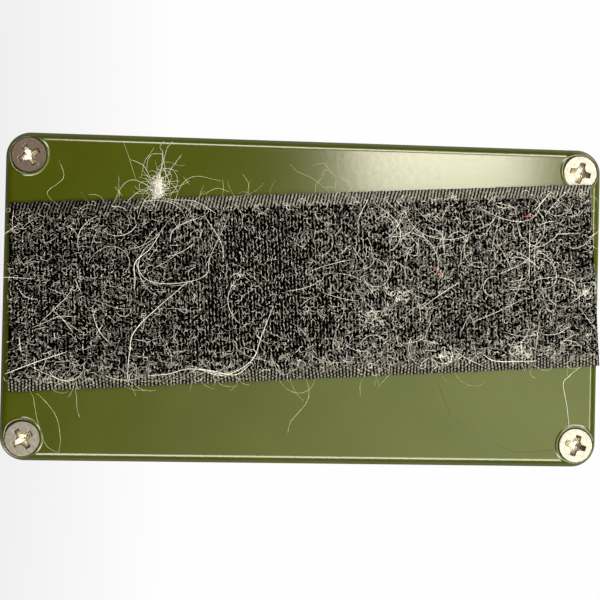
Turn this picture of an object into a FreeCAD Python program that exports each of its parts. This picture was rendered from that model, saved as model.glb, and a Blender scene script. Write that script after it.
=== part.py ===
"""Guitar effects pedal in a drafted die-cast box. A screwed cover closes the box underneath and carries a
strip of hook tape, which grips the carpet of a pedal board. Three knobs, an indicator lamp and a footswitch
are on top, and two plug sockets and a power socket are on one short end. The circuit is inside.

Millimetres. +Z is up, towards the controls, and +Y points to the end with the sockets. The origin is the
middle of the box's outline, in the plane that the tips of the hooks stand on.
"""

import FreeCAD
import Part

import math
import os

from FreeCAD import Vector

# ------------------------------------------------------------------------------ driving dimensions
# Box and cover
BOX_LENGTH = 122.0
BOX_WIDTH = 66.0
BOX_HEIGHT = 39.5  # with its cover
CORNER_RADIUS = 5.0
DRAFT = 1.5  # degrees that the cast walls lean in, from the open rim up to the top
WALL = 2.2
TOP_PLATE = 2.3
TOP_ROUNDING = 2.5
COVER_EDGE = 3.9
COVER_PLATE = 2.3
COVER_ROUNDING = 2.0
COVER_RIM = 4.0
COVER_POCKET_RADIUS = 3.0
COVER_PAD = 1.6  # the cover's full thickness reaches this far past a boss
LIP_HEIGHT = 1.4
LIP_THICKNESS = 1.4
FIT_GAP = 0.15  # between pieces that are pushed together
SCREW_INSET = 4.7  # from both edges of the cover to a screw's axis
BOSS_RADIUS = 4.4
HOLE_GAP = 0.1  # round a threaded part that passes through a wall or a washer
THREAD_GAP = 0.02  # between a nut and its thread

# Hook tape
TAPE_WIDTH = 37.5
TAPE_LENGTH = 118.9  # along its middle
TAPE_TURN = -3.5  # degrees about Z: the strip was stuck on a little askew
TAPE_SHIFT = 3.3  # its middle is this far to +X
TAPE_CUT_NEAR = 2.6  # degrees that the cut at the -Y end is off square
TAPE_CUT_FAR = 0.8  # the same for the cut at the +Y end
SELVEDGE = 2.5  # woven edge that has no hooks
HOOK_HEIGHT = 1.5
BACKING = 0.6
ADHESIVE = 0.3

# Countersunk cover screws
SCREW_HEAD_RADIUS = 3.5
SCREW_HEAD_LAND = 0.2
SCREW_HEAD_SINK = 0.3  # below the cover's face
SCREW_RADIUS = 1.7
SCREW_LENGTH = 14.0
SCREW_HOLE_RADIUS = 1.95
BOSS_HOLE_RADIUS = 1.72
BOSS_HOLE_DEPTH = 12.0
CROSS_SPAN = 3.9
CROSS_WIDTH = 1.1
CROSS_DEPTH = 1.7
CROSS_FLOOR_SPAN = 0.4  # the recess's floor, as shares of its mouth
CROSS_FLOOR_WIDTH = 0.7
SCREW_POINT = 1.0  # length of the bevelled end
SCREW_POINT_BEVEL = 0.8
CROSS_TURNS = {(1, -1): -28, (-1, -1): -35, (1, 1): 15, (-1, 1): 18}  # degrees, for each corner's screw

# Places of the controls and sockets
KNOB_Y = 20.0
KNOB_PITCH = 20.0
LAMP_Y = -6.0
FOOT_Y = -38.0
SOCKET_Z = 23.0
SOCKET_X = 16.2

# Potentiometers and knobs
POT_RADIUS = 8.25
POT_HEIGHT = 7.0
POT_SHELL = 1.0
POT_PLATE = 1.0
POT_BUSHING_RADIUS = 3.5
POT_BUSHING_TOP = 3.5  # above the box
POT_NUT = 10.0  # across flats
POT_NUT_HEIGHT = 2.0
POT_WASHER_RADIUS = 5.5
POT_WASHER = 0.5
SHAFT_RADIUS = 3.0
SHAFT_TOP = 11.5  # above the box
ROTOR_RADIUS = 6.0
ROTOR = 2.0
ROTOR_LIFT = 4.2  # above the bottom of the case
SHAFT_LIFT = 2.2
TRACK_INNER = 2.0
TRACK_OUTER = 6.6
TRACK = 0.8
PIN_REACH = 1.6  # out from the case
PIN_WIDTH = 1.0
PIN_METAL = 0.4
PIN_LIFT = 2.4
PIN_PITCH = 5.0
RUNNING_GAP = 0.05
KNOB_LIFT = 0.8
KNOB_HEIGHT = 15.0
KNOB_SKIRT = 1.6
KNOB_FLARE = 0.6
KNOB_FLARE_TOP = 3.0
KNOB_GRIP_LOW = 4.0
KNOB_EDGE = 0.8
KNOB_RECESS_RADIUS = 7.0
KNOB_RECESS_GAP = 0.6
KNOB_SKIRT_RADIUS = 9.4
KNOB_GRIP_RADIUS = 8.0
KNOB_TOP_RADIUS = 7.4
KNOB_FLUTES = 18
KNOB_FLUTE_RADIUS = 0.9
KNOB_FLUTE_LOW = 3.4
POINTER_WIDTH = 1.1
POINTER_DEPTH = 0.5
POINTER_INSET = 1.0  # from the top's edge, and from its middle
SET_SCREW_RADIUS = 1.5
SET_SCREW_LENGTH = 3.8
SET_SCREW_KEY = 1.5  # across flats
SET_SCREW_KEY_DEPTH = 1.2
SET_SCREW_HEIGHT = 8.0  # above the knob's bottom

# Indicator lamp
LAMP_RADIUS = 2.5
LAMP_FLANGE = 0.4
LAMP_FOOT = 3.6  # below the ceiling
LAMP_FLANGE_TOP = 2.4  # below the ceiling
LAMP_STRAIGHT = 0.5  # above the box, up to the dome
LAMP_LEAD_PITCH = 2.54
BEZEL_RADIUS = 4.3
BEZEL_SLEEVE = 3.3
BEZEL_EDGE = 0.6
BEZEL_HEIGHT = 1.4
BEZEL_CROWN = 0.9
TAIL = 0.8  # how far a pin or lead passes below the main board

# Footswitch
FOOT_CASE = 17.4
FOOT_FRAME = 3.6
FOOT_BASE = 10.4
FOOT_THREAD = 6.0
FOOT_BUTTON_RADIUS = 5.0
FOOT_BUTTON_TOP = 11.0  # above the box
FOOT_SHOULDER = 6.5
FOOT_NUT = 15.0  # across flats
FOOT_NUT_HEIGHT = 2.8
FOOT_WASHER = 1.0
FOOT_WASHER_OUTER = 9.4
FOOT_WASHER_INNER = 8.4
FOOT_THREAD_TOP = 4.8  # above the box
FOOT_FRAME_PLATE = 1.2
FOOT_ROOM_GAP = 0.3
FOOT_ROOM_DEPTH = 4.4
FOOT_SHOULDER_LIFT = 1.4
FOOT_SHOULDER_HEIGHT = 1.6
FOOT_BUTTON_EDGE = 1.8
FOOT_BUTTON_CROWN = 0.25
FOOT_CASE_GAP = 3.0  # to the ceiling
LUG_WIDTH = 2.4
LUG_METAL = 0.7
LUG_TAIL = 1.4
LUG_PITCH_X = 5.3
LUG_PITCH_Y = 4.8

# Plug sockets and power socket
PLUG_RADIUS = 3.2
SOCKET_THREAD = 4.7
SOCKET_REACH = 4.2  # the thread's end, out from the wall
SOCKET_WIDTH = 15.0
SOCKET_HEIGHT = 15.0
SOCKET_LENGTH = 24.0
SOCKET_DEPTH = 22.0
SOCKET_EDGE = 1.0
SOCKET_LEAD_IN = 0.6
SOCKET_NUT = 14.0  # across flats
SOCKET_NUT_HEIGHT = 2.4
SOCKET_WASHER_RADIUS = 7.4
SOCKET_WASHER = 0.7
CONTACT_WIDTH = 2.0
CONTACT_METAL = 0.5
CONTACT_OFFSET = 0.9  # from the bore's surface to the contact's middle
CONTACT_SET_BACK = 5.0
CONTACT_TAIL = 3.0
SLOT_WIDTH = 2.2
SLOT_HEIGHT = 1.5
SLOT_OPENING = 0.3  # how far a slot breaks into the bore
POWER_RADIUS = 2.8
POWER_PIN_RADIUS = 1.05
POWER_THREAD = 5.9
POWER_FLANGE = 7.2
POWER_LENGTH = 12.0
POWER_FACE = 2.0  # its flange's thickness
POWER_BACK = 2.0
POWER_LEAD_IN = 0.5
POWER_TAIL = 2.5
POWER_TAIL_NECK = 0.25
POWER_PIN_SET_BACK = 1.5
POWER_PIN_POINT = 0.4
POWER_PIN_TIP_RADIUS = 0.6
POWER_SLOT_WIDTH = 1.6
POWER_SLOT_HEIGHT = 1.2
POWER_SLOT_SET_BACK = 1.0
POWER_LEAF_WIDTH = 1.4
POWER_LEAF_METAL = 0.4
POWER_NUT_HEIGHT = 2.6

# Boards and wires
BOARD = 1.6
BOARD_LOW = 28.4
BOARD_WIDTH = 57.0
BOARD_NEAR = -22.0
BOARD_FAR = 31.5
FOOT_BOARD_LOW = 18.4
FOOT_BOARD_WIDTH = 19.0
FOOT_BOARD_LENGTH = 23.0
BOARD_EDGE = 1.2  # from a board's edge to the wires soldered there
LEAD_RADIUS = 0.3
SQUARE_LEAD = 0.5
LEAD_PITCH = 1.27
WIRE_RADIUS = 0.65
THIN_WIRE_RADIUS = 0.6
RESISTOR = (1.15, 6.3, 10.0)  # radius, length and span over its leads
DIODE = (0.9, 4.0, 7.2)
PART_GAP = 0.4  # between the board and a part that lies under it
FILM = (7.2, 2.6, 6.4)  # across, along and down from the board
CERAMIC = (4.6, 2.2, 4.4)
CAN_RADIUS = 3.1
CAN_HEIGHT = 8.0
SMALL_CAN_RADIUS = 2.5
SMALL_CAN_HEIGHT = 7.0
CAN_EDGE = 0.5
TRANSISTOR_RADIUS = 2.3
TRANSISTOR_FLAT = 1.2  # from the body's axis
TRANSISTOR_HEIGHT = 4.6
TRANSISTOR_LEGS = 2.0
CHIP_BODY = (6.4, 9.8)
CHIP_HEIGHT = 3.1
CHIP_SOCKET = (7.9, 10.2)
CHIP_SOCKET_HOLE = (4.4, 7.6)
CHIP_SOCKET_HEIGHT = 3.0
NEAR_ROW = -10.0  # y of each row of parts on the main board
FAR_ROW = 18.0
END_ROW = 28.0
FILM_ROW = 2.0
FILM_COLUMNS = (-25, -16, -7, 7, 16, 25)
CERAMIC_ROW = 6.6
CERAMIC_COLUMNS = (-20, -10, 10, 20)
TRANSISTOR_ROW = -18.4
SMALL_CAN_PLACE = (24.5, -18.8)
WIRE_GAP = 0.3  # between a contact's tail and its wire
UPPER_WIRE_REACH = 4.2
LOWER_WIRE_REACH = 3.0
LOWER_WIRE_SPREAD = 1.16
POWER_WIRE_REACH = 8.0

# ------------------------------------------------------------------------------ levels that follow
COVER_FACE = HOOK_HEIGHT + BACKING + ADHESIVE
RIM = COVER_FACE + COVER_EDGE
TOP = COVER_FACE + BOX_HEIGHT
CEILING = TOP - TOP_PLATE
SCREW_X = BOX_WIDTH / 2 - SCREW_INSET
SCREW_Y = BOX_LENGTH / 2 - SCREW_INSET
LEAN = math.tan(math.radians(DRAFT))
INNER_FACE = -WALL * math.cos(math.radians(DRAFT))
POT_LOW = CEILING - POT_PLATE - POT_HEIGHT
FOOT_CASE_TOP = CEILING - FOOT_CASE_GAP
FOOT_CASE_LOW = FOOT_CASE_TOP - FOOT_FRAME - FOOT_BASE
KNOB_LOW = TOP + KNOB_LIFT
X_AXIS = Vector(1, 0, 0)
Z_AXIS = Vector(0, 0, 1)
CORNERS = [(sx, sy) for sx in (-1, 1) for sy in (-1, 1)]
EXTRA = 1.0  # how far a cutting tool runs past the face it cuts


# ------------------------------------------------------------------------------ shapes used throughout
def save(node, *solids):
    """Writes one node, of one solid or of several alike."""
    shape = solids[0] if len(solids) == 1 else Part.makeCompound(list(solids))
    if not shape.isValid() or not shape.Solids:
        raise ValueError(f"{node} is not a valid solid")
    shape.exportStep(f"parts/{node}.step")


def at(shape, x=0.0, y=0.0, z=0.0):
    """A copy of a shape, moved."""
    moved = shape.copy()
    moved.translate(Vector(x, y, z))
    return moved


def turned(shape, degrees, axis=Z_AXIS):
    copy = shape.copy()
    copy.rotate(Vector(), axis, degrees)
    return copy


def fused(*shapes):
    return shapes[0].fuse(list(shapes[1:])).removeSplitter()


def disc(radius, low, high):
    return Part.makeCylinder(radius, high - low, Vector(0, 0, low))


def cone(radius_low, radius_high, low, high):
    return Part.makeCone(radius_low, radius_high, high - low, Vector(0, 0, low))


def ring(outer, inner, low, high):
    return disc(outer, low, high).cut(disc(inner, low - EXTRA, high + EXTRA))


def bar(width, length, low, high, x=0.0, y=0.0):
    """Upright block, centred on x and y."""
    return Part.makeBox(width, length, high - low, Vector(x - width / 2, y - length / 2, low))


def prism(points, low, high):
    corners = [Vector(x, y, low) for x, y in [*points, points[0]]]
    return Part.Face(Part.makePolygon(corners)).extrude(Vector(0, 0, high - low))


def turning(points):
    """Solid of revolution about Z, from (radius, height) points."""
    corners = [Vector(r, 0, z) for r, z in [*points, points[0]]]
    return Part.Face(Part.makePolygon(corners)).revolve(Vector(), Z_AXIS, 360)


def hexagon(across_flats, low, high):
    corner = across_flats / math.sqrt(3)
    angles = [math.radians(60 * i + 30) for i in range(6)]
    return prism([(corner * math.cos(a), corner * math.sin(a)) for a in angles], low, high)


def nut(across_flats, hole, low, high):
    """Hexagon nut with its corners chamfered at both ends."""
    corner = across_flats / math.sqrt(3)
    chamfer = corner - across_flats / 2
    blank = hexagon(across_flats, low, high)
    rounded = turning([
        (0, low),
        (corner - chamfer, low),
        (corner, low + chamfer / 2),
        (corner, high - chamfer / 2),
        (corner - chamfer, high),
        (0, high),
    ])
    return blank.common(rounded).cut(disc(hole, low - EXTRA, high + EXTRA))


def rounded_outline(width, length, radius, z):
    """Rectangle with round corners, centred on the Z axis, as a closed wire."""
    x, y = width / 2 - radius, length / 2 - radius
    centres = [(x, y), (-x, y), (-x, -y), (x, -y)]
    arcs = [
        Part.makeCircle(radius, Vector(cx, cy, z), Z_AXIS, 90 * i, 90 * i + 90)
        for i, (cx, cy) in enumerate(centres)
    ]
    edges = []
    for arc, following in zip(arcs, arcs[1:] + arcs[:1]):
        edges.append(arc)
        edges.append(Part.makeLine(arc.Vertexes[-1].Point, following.Vertexes[0].Point))
    return Part.Wire(edges)


def rounded_block(width, length, radius, low, high):
    face = Part.Face(rounded_outline(width, length, radius, low))
    return face.extrude(Vector(0, 0, high - low))


def drafted_block(width, length, radius, low, high):
    """Block whose sides lean in with height. Its size is the one at the box's rim."""
    outlines = []
    for z in (low, high):
        lean = (z - RIM) * LEAN
        outlines.append(rounded_outline(width - 2 * lean, length - 2 * lean, radius - lean, z))
    return Part.makeLoft(outlines, True, True)


def edges_at(shape, z):
    return [e for e in shape.Edges if all(abs(v.Z - z) < 1e-6 for v in e.Vertexes)]


def on_end_wall(shape, x):
    """Lays a shape, made about Z with the wall's outer face at its zero, square on the leaning end wall."""
    laid = turned(shape, DRAFT - 90, X_AXIS)
    return at(laid, x, BOX_LENGTH / 2 - (SOCKET_Z - RIM) * LEAN, SOCKET_Z)


def wire(points, radius=WIRE_RADIUS):
    """Insulated wire along straight runs joined by tangent arcs."""
    points = [Vector(*p) for p in points]
    edges, start = [], points[0]
    for before, corner, after in zip(points, points[1:], points[2:]):
        back, ahead = before - corner, after - corner
        reach = 0.45 * min(back.Length, ahead.Length)
        first = corner + back.normalize() * reach
        last = corner + ahead.normalize() * reach
        half = back.getAngle(ahead) / 2
        bend = reach * math.tan(half)
        middle = corner + (back + ahead).normalize() * (bend / math.sin(half) - bend)
        edges.append(Part.makeLine(start, first))
        edges.append(Part.Arc(first, middle, last).toShape())
        start = last
    edges.append(Part.makeLine(start, points[-1]))
    section = Part.Wire(Part.makeCircle(radius, points[0], points[1] - points[0]))
    return Part.Wire(edges).makePipeShell([section], True, True)


# ------------------------------------------------------------------------------ hook tape
def tape_layer(low, high, selvedge=0.0):
    """One layer of the strip: its two cut ends aren't square to its length."""
    half = TAPE_WIDTH / 2 - selvedge
    near = half * math.tan(math.radians(TAPE_CUT_NEAR))
    far = half * math.tan(math.radians(TAPE_CUT_FAR))
    end = TAPE_LENGTH / 2
    outline = [(-half, -end - near), (half, -end + near), (half, end + far), (-half, end - far)]
    return at(turned(prism(outline, low, high), TAPE_TURN), TAPE_SHIFT)


def make_tape():
    save("tape_hooks", tape_layer(0, HOOK_HEIGHT, SELVEDGE))
    save("tape_backing", tape_layer(HOOK_HEIGHT, HOOK_HEIGHT + BACKING))
    save("tape_adhesive", tape_layer(HOOK_HEIGHT + BACKING, COVER_FACE))


# ------------------------------------------------------------------------------ box, cover and screws
def countersink():
    """Clearance hole and 90 degree countersink, for a screw whose head faces down."""
    rim = SCREW_HEAD_RADIUS + SCREW_HEAD_SINK + SCREW_HEAD_LAND
    hole = disc(SCREW_HOLE_RADIUS, COVER_FACE - EXTRA, RIM + LIP_HEIGHT + EXTRA)
    sink = cone(rim + EXTRA, SCREW_HOLE_RADIUS, COVER_FACE - EXTRA, COVER_FACE + rim - SCREW_HOLE_RADIUS)
    return hole.fuse(sink)


def make_cover():
    blank = rounded_block(BOX_WIDTH, BOX_LENGTH, CORNER_RADIUS, COVER_FACE, RIM)
    blank = blank.makeFillet(COVER_ROUNDING, edges_at(blank, COVER_FACE))
    inner_width, inner_length = BOX_WIDTH - 2 * COVER_RIM, BOX_LENGTH - 2 * COVER_RIM
    pocket_low = COVER_FACE + COVER_PLATE
    pocket = rounded_block(inner_width, inner_length, COVER_POCKET_RADIUS, pocket_low, RIM + EXTRA)
    inset = WALL + FIT_GAP
    lip_width, lip_length = BOX_WIDTH - 2 * inset, BOX_LENGTH - 2 * inset
    lip_radius = CORNER_RADIUS - inset
    lip = rounded_block(lip_width, lip_length, lip_radius, RIM - EXTRA, RIM + LIP_HEIGHT).cut(
        rounded_block(
            lip_width - 2 * LIP_THICKNESS,
            lip_length - 2 * LIP_THICKNESS,
            lip_radius - LIP_THICKNESS,
            RIM - 2 * EXTRA,
            RIM + LIP_HEIGHT + EXTRA,
        )
    )
    for sx, sy in CORNERS:
        x, y = sx * SCREW_X, sy * SCREW_Y
        pocket = pocket.cut(at(disc(BOSS_RADIUS + COVER_PAD, 0, TOP), x, y))
        lip = lip.cut(at(disc(BOSS_RADIUS + 2 * FIT_GAP, 0, TOP), x, y))
    cover = fused(blank.cut(pocket), lip)
    for sx, sy in CORNERS:
        cover = cover.cut(at(countersink(), sx * SCREW_X, sy * SCREW_Y))
    save("bottom_cover", cover)


def cover_screw(turn):
    """Countersunk screw with a cross recess in its head, which faces down."""
    head = COVER_FACE + SCREW_HEAD_SINK
    neck = head + SCREW_HEAD_LAND + SCREW_HEAD_RADIUS - SCREW_RADIUS
    tip = head + SCREW_LENGTH
    body = turning([
        (0, head),
        (SCREW_HEAD_RADIUS, head),
        (SCREW_HEAD_RADIUS, head + SCREW_HEAD_LAND),
        (SCREW_RADIUS, neck),
        (SCREW_RADIUS, tip - SCREW_POINT),
        (SCREW_RADIUS - SCREW_POINT_BEVEL, tip),
        (0, tip),
    ])
    mouth = Part.makePolygon(rectangle(CROSS_SPAN, CROSS_WIDTH, head))
    floor_span, floor_width = CROSS_SPAN * CROSS_FLOOR_SPAN, CROSS_WIDTH * CROSS_FLOOR_WIDTH
    floor = Part.makePolygon(rectangle(floor_span, floor_width, head + CROSS_DEPTH))
    wing = Part.makeLoft([mouth, floor], True, True)
    body = body.cut(wing).cut(turned(wing, 90))
    return turned(body, turn)


def rectangle(width, length, z):
    """Corners of a rectangle centred on the Z axis, ending with the first one again."""
    x, y = width / 2, length / 2
    return [Vector(px, py, z) for px, py in ((-x, -y), (x, -y), (x, y), (-x, y), (-x, -y))]


def make_screws():
    screws = [
        at(cover_screw(CROSS_TURNS[corner]), corner[0] * SCREW_X, corner[1] * SCREW_Y)
        for corner in CORNERS
    ]
    save("cover_screws", *screws)


def knob_places():
    return {"left": -KNOB_PITCH, "middle": 0.0, "right": KNOB_PITCH}


def make_box():
    shell = drafted_block(BOX_WIDTH, BOX_LENGTH, CORNER_RADIUS, RIM, TOP)
    shell = shell.makeFillet(TOP_ROUNDING, edges_at(shell, TOP))
    cavity = drafted_block(
        BOX_WIDTH - 2 * WALL, BOX_LENGTH - 2 * WALL, CORNER_RADIUS - WALL, RIM - EXTRA, CEILING
    )
    for sx, sy in CORNERS:
        cavity = cavity.cut(at(disc(BOSS_RADIUS, 0, TOP), sx * SCREW_X, sy * SCREW_Y))
    shell = shell.cut(cavity)
    holes = [
        at(disc(BOSS_HOLE_RADIUS, RIM - EXTRA, RIM + BOSS_HOLE_DEPTH), sx * SCREW_X, sy * SCREW_Y)
        for sx, sy in CORNERS
    ]
    for x in knob_places().values():
        holes.append(at(disc(POT_BUSHING_RADIUS + HOLE_GAP, CEILING - EXTRA, TOP + EXTRA), x, KNOB_Y))
    holes.append(at(disc(BEZEL_SLEEVE + RUNNING_GAP, CEILING - EXTRA, TOP + EXTRA), 0, LAMP_Y))
    holes.append(at(disc(FOOT_THREAD + HOLE_GAP, CEILING - EXTRA, TOP + EXTRA), 0, FOOT_Y))
    for x in (-SOCKET_X, SOCKET_X):
        holes.append(on_end_wall(disc(SOCKET_THREAD + HOLE_GAP, INNER_FACE - EXTRA, EXTRA), x))
    holes.append(on_end_wall(disc(POWER_THREAD + HOLE_GAP, INNER_FACE - EXTRA, EXTRA), 0))
    save("box_shell", shell.cut(holes))


# ------------------------------------------------------------------------------ knobs and potentiometers
def knob():
    top = KNOB_LOW + KNOB_HEIGHT
    body = turning([
        (0, KNOB_LOW),
        (KNOB_SKIRT_RADIUS, KNOB_LOW),
        (KNOB_SKIRT_RADIUS, KNOB_LOW + KNOB_SKIRT),
        (KNOB_GRIP_RADIUS + KNOB_FLARE, KNOB_LOW + KNOB_FLARE_TOP),
        (KNOB_GRIP_RADIUS, KNOB_LOW + KNOB_GRIP_LOW),
        (KNOB_TOP_RADIUS, top - KNOB_EDGE),
        (KNOB_TOP_RADIUS - KNOB_EDGE, top),
        (0, top),
    ])
    radius = KNOB_GRIP_RADIUS + KNOB_FLUTE_RADIUS / 2
    flute = disc(KNOB_FLUTE_RADIUS, KNOB_LOW + KNOB_FLUTE_LOW, top + EXTRA)
    for i in range(KNOB_FLUTES):
        angle = 2 * math.pi * (i + 0.5) / KNOB_FLUTES
        body = body.cut(at(flute, radius * math.cos(angle), radius * math.sin(angle)))
    body = body.cut(disc(KNOB_RECESS_RADIUS, KNOB_LOW - EXTRA, TOP + POT_BUSHING_TOP + KNOB_RECESS_GAP))
    body = body.cut(disc(SHAFT_RADIUS + THREAD_GAP, KNOB_LOW, TOP + SHAFT_TOP + FIT_GAP))
    body = body.cut(pointer())
    return body.cut(set_screw_hole())


def pointer():
    """Inlaid line from near the knob's middle to its rim, towards +Y."""
    top = KNOB_LOW + KNOB_HEIGHT
    length = KNOB_TOP_RADIUS - 2 * POINTER_INSET
    return bar(POINTER_WIDTH, length, top - POINTER_DEPTH, top, 0, KNOB_TOP_RADIUS / 2)


def set_screw_hole():
    hole = disc(SET_SCREW_RADIUS + THREAD_GAP, SHAFT_RADIUS, KNOB_SKIRT_RADIUS + EXTRA)
    return at(turned(hole, 90, X_AXIS), 0, 0, KNOB_LOW + SET_SCREW_HEIGHT)


def set_screw():
    """Hexagon socket grub screw that grips the shaft from the -Y side."""
    outer = SHAFT_RADIUS + SET_SCREW_LENGTH
    screw = disc(SET_SCREW_RADIUS, SHAFT_RADIUS + THREAD_GAP, outer)
    key = hexagon(SET_SCREW_KEY, outer - SET_SCREW_KEY_DEPTH, outer + EXTRA)
    return at(turned(screw.cut(key), 90, X_AXIS), 0, 0, KNOB_LOW + SET_SCREW_HEIGHT)


def pot_shaft():
    """The shaft with the rotor that carries the wiper."""
    rotor = POT_LOW + ROTOR_LIFT
    return fused(
        disc(SHAFT_RADIUS, POT_LOW + SHAFT_LIFT, TOP + SHAFT_TOP),
        disc(ROTOR_RADIUS, rotor, rotor + ROTOR),
    )


def pot_case():
    cup = disc(POT_RADIUS, POT_LOW, POT_LOW + POT_HEIGHT)
    return cup.cut(disc(POT_RADIUS - POT_SHELL, POT_LOW + POT_SHELL, POT_LOW + POT_HEIGHT + EXTRA))


def pot_bushing():
    """Threaded bushing on its mounting plate, which closes the case."""
    plate = disc(POT_RADIUS, CEILING - POT_PLATE, CEILING)
    thread = disc(POT_BUSHING_RADIUS, CEILING - POT_PLATE, TOP + POT_BUSHING_TOP)
    bore = disc(SHAFT_RADIUS + RUNNING_GAP, CEILING - POT_PLATE - EXTRA, TOP + POT_BUSHING_TOP + EXTRA)
    return fused(plate, thread).cut(bore)


def pot_pin(x):
    """Terminal that leaves the case's side and turns down through the main board."""
    side = -math.sqrt(POT_RADIUS**2 - max(0, abs(x) - PIN_WIDTH / 2) ** 2)
    level = POT_LOW + PIN_LIFT
    end = -POT_RADIUS - PIN_REACH
    flat = bar(PIN_WIDTH, side - end, level, level + PIN_METAL, x, (side + end) / 2)
    down = bar(PIN_WIDTH, PIN_METAL, BOARD_LOW - TAIL, level + PIN_METAL, x, end + PIN_METAL / 2)
    return fused(flat, down)


def make_knobs():
    pins, nuts, washers, tracks = [], [], [], []
    for name, x in knob_places().items():
        save(f"knob_{name}", at(knob(), x, KNOB_Y))
        save(f"knob_{name}_pointer", at(pointer(), x, KNOB_Y))
        save(f"knob_{name}_set_screw", at(set_screw(), x, KNOB_Y))
        save(f"pot_{name}_shaft", at(pot_shaft(), x, KNOB_Y))
        save(f"pot_{name}_case", at(pot_case(), x, KNOB_Y))
        save(f"pot_{name}_bushing", at(pot_bushing(), x, KNOB_Y))
        pins += [at(pot_pin(step), x, KNOB_Y) for step in (-PIN_PITCH, 0, PIN_PITCH)]
        washer = ring(POT_WASHER_RADIUS, POT_BUSHING_RADIUS + HOLE_GAP, TOP, TOP + POT_WASHER)
        washers.append(at(washer, x, KNOB_Y))
        low = TOP + POT_WASHER
        hexagonal = nut(POT_NUT, POT_BUSHING_RADIUS + THREAD_GAP, low, low + POT_NUT_HEIGHT)
        nuts.append(at(hexagonal, x, KNOB_Y))
        track = ring(TRACK_OUTER, TRACK_INNER, POT_LOW + POT_SHELL, POT_LOW + POT_SHELL + TRACK)
        tracks.append(at(track, x, KNOB_Y))
    save("pot_pins", *pins)
    save("pot_nuts", *nuts)
    save("pot_washers", *washers)
    save("pot_tracks", *tracks)
    return pins


# ------------------------------------------------------------------------------ indicator lamp
def lamp_leads():
    foot = CEILING - LAMP_FOOT
    places = (-LAMP_LEAD_PITCH / 2, LAMP_LEAD_PITCH / 2)
    return [bar(SQUARE_LEAD, SQUARE_LEAD, BOARD_LOW - TAIL, foot, x, 0) for x in places]


def make_lamp():
    foot = CEILING - LAMP_FOOT
    sleeve = CEILING - LAMP_FLANGE_TOP
    straight = TOP + LAMP_STRAIGHT
    barrel = disc(LAMP_RADIUS, foot, straight)
    dome = Part.makeSphere(LAMP_RADIUS, Vector(0, 0, straight), Z_AXIS, 0, 90, 360)
    lamp = fused(barrel, dome, disc(LAMP_RADIUS + LAMP_FLANGE, foot, sleeve))
    save("lamp", at(lamp, 0, LAMP_Y))
    bezel = turning([
        (LAMP_RADIUS + RUNNING_GAP, sleeve),
        (BEZEL_SLEEVE, sleeve),
        (BEZEL_SLEEVE, TOP),
        (BEZEL_RADIUS, TOP),
        (BEZEL_RADIUS, TOP + BEZEL_EDGE),
        (LAMP_RADIUS + BEZEL_CROWN, TOP + BEZEL_HEIGHT),
        (LAMP_RADIUS + RUNNING_GAP, TOP + BEZEL_HEIGHT),
    ])
    save("lamp_bezel", at(bezel, 0, LAMP_Y))
    leads = [at(lead, 0, LAMP_Y) for lead in lamp_leads()]
    save("lamp_leads", *leads)
    return leads


# ------------------------------------------------------------------------------ footswitch
def foot_lugs():
    places = [(i * LUG_PITCH_X, j * LUG_PITCH_Y) for i in (-1, 0, 1) for j in (-1, 0, 1)]
    return [bar(LUG_WIDTH, LUG_METAL, FOOT_BOARD_LOW - LUG_TAIL, FOOT_CASE_LOW, x, y) for x, y in places]


def make_footswitch():
    frame_low = FOOT_CASE_TOP - FOOT_FRAME
    room = FOOT_SHOULDER + FOOT_ROOM_GAP
    base = bar(FOOT_CASE, FOOT_CASE, FOOT_CASE_LOW, frame_low)
    base = base.cut(disc(room, frame_low - FOOT_ROOM_DEPTH, frame_low + EXTRA))
    frame = bar(FOOT_CASE, FOOT_CASE, frame_low, FOOT_CASE_TOP)
    plate = FOOT_CASE_TOP - FOOT_FRAME_PLATE
    frame = frame.cut(disc(room, frame_low - EXTRA, plate))
    thread_top = TOP + FOOT_THREAD_TOP
    bore = disc(FOOT_BUTTON_RADIUS + RUNNING_GAP, frame_low, thread_top + EXTRA)
    frame = fused(frame, disc(FOOT_THREAD, plate, thread_top)).cut(bore)
    save("footswitch_base", at(base, 0, FOOT_Y))
    save("footswitch_frame", at(frame, 0, FOOT_Y))

    button_top = TOP + FOOT_BUTTON_TOP
    shoulder = frame_low + FOOT_SHOULDER_LIFT
    edge = FOOT_BUTTON_EDGE
    arc = [
        (FOOT_BUTTON_RADIUS - edge + edge * math.cos(a), button_top - edge + edge * math.sin(a))
        for a in (math.radians(15 * i) for i in range(7))
    ]
    button = turning([
        (0, shoulder - FOOT_SHOULDER_HEIGHT),
        (FOOT_SHOULDER, shoulder - FOOT_SHOULDER_HEIGHT),
        (FOOT_SHOULDER, shoulder),
        (FOOT_BUTTON_RADIUS, shoulder),
        *arc,
        (0, button_top + FOOT_BUTTON_CROWN),
    ])
    save("footswitch_button", at(button, 0, FOOT_Y))

    thread_hole, washer_hole = FOOT_THREAD + THREAD_GAP, FOOT_THREAD + HOLE_GAP
    under, over = CEILING - FOOT_WASHER, TOP + FOOT_WASHER
    nuts = [
        nut(FOOT_NUT, thread_hole, FOOT_CASE_TOP, under),
        nut(FOOT_NUT, thread_hole, over, over + FOOT_NUT_HEIGHT),
    ]
    save("footswitch_nuts", *[at(item, 0, FOOT_Y) for item in nuts])
    washers = [
        ring(FOOT_WASHER_INNER, washer_hole, under, CEILING),
        ring(FOOT_WASHER_OUTER, washer_hole, TOP, over),
    ]
    save("footswitch_washers", *[at(item, 0, FOOT_Y) for item in washers])
    lugs = [at(lug, 0, FOOT_Y) for lug in foot_lugs()]
    save("footswitch_lugs", *lugs)

    board_high = FOOT_BOARD_LOW + BOARD
    board = rounded_block(FOOT_BOARD_WIDTH, FOOT_BOARD_LENGTH, BOARD, FOOT_BOARD_LOW, board_high)
    save("footswitch_board", at(board, 0, FOOT_Y).cut(lugs))


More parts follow.
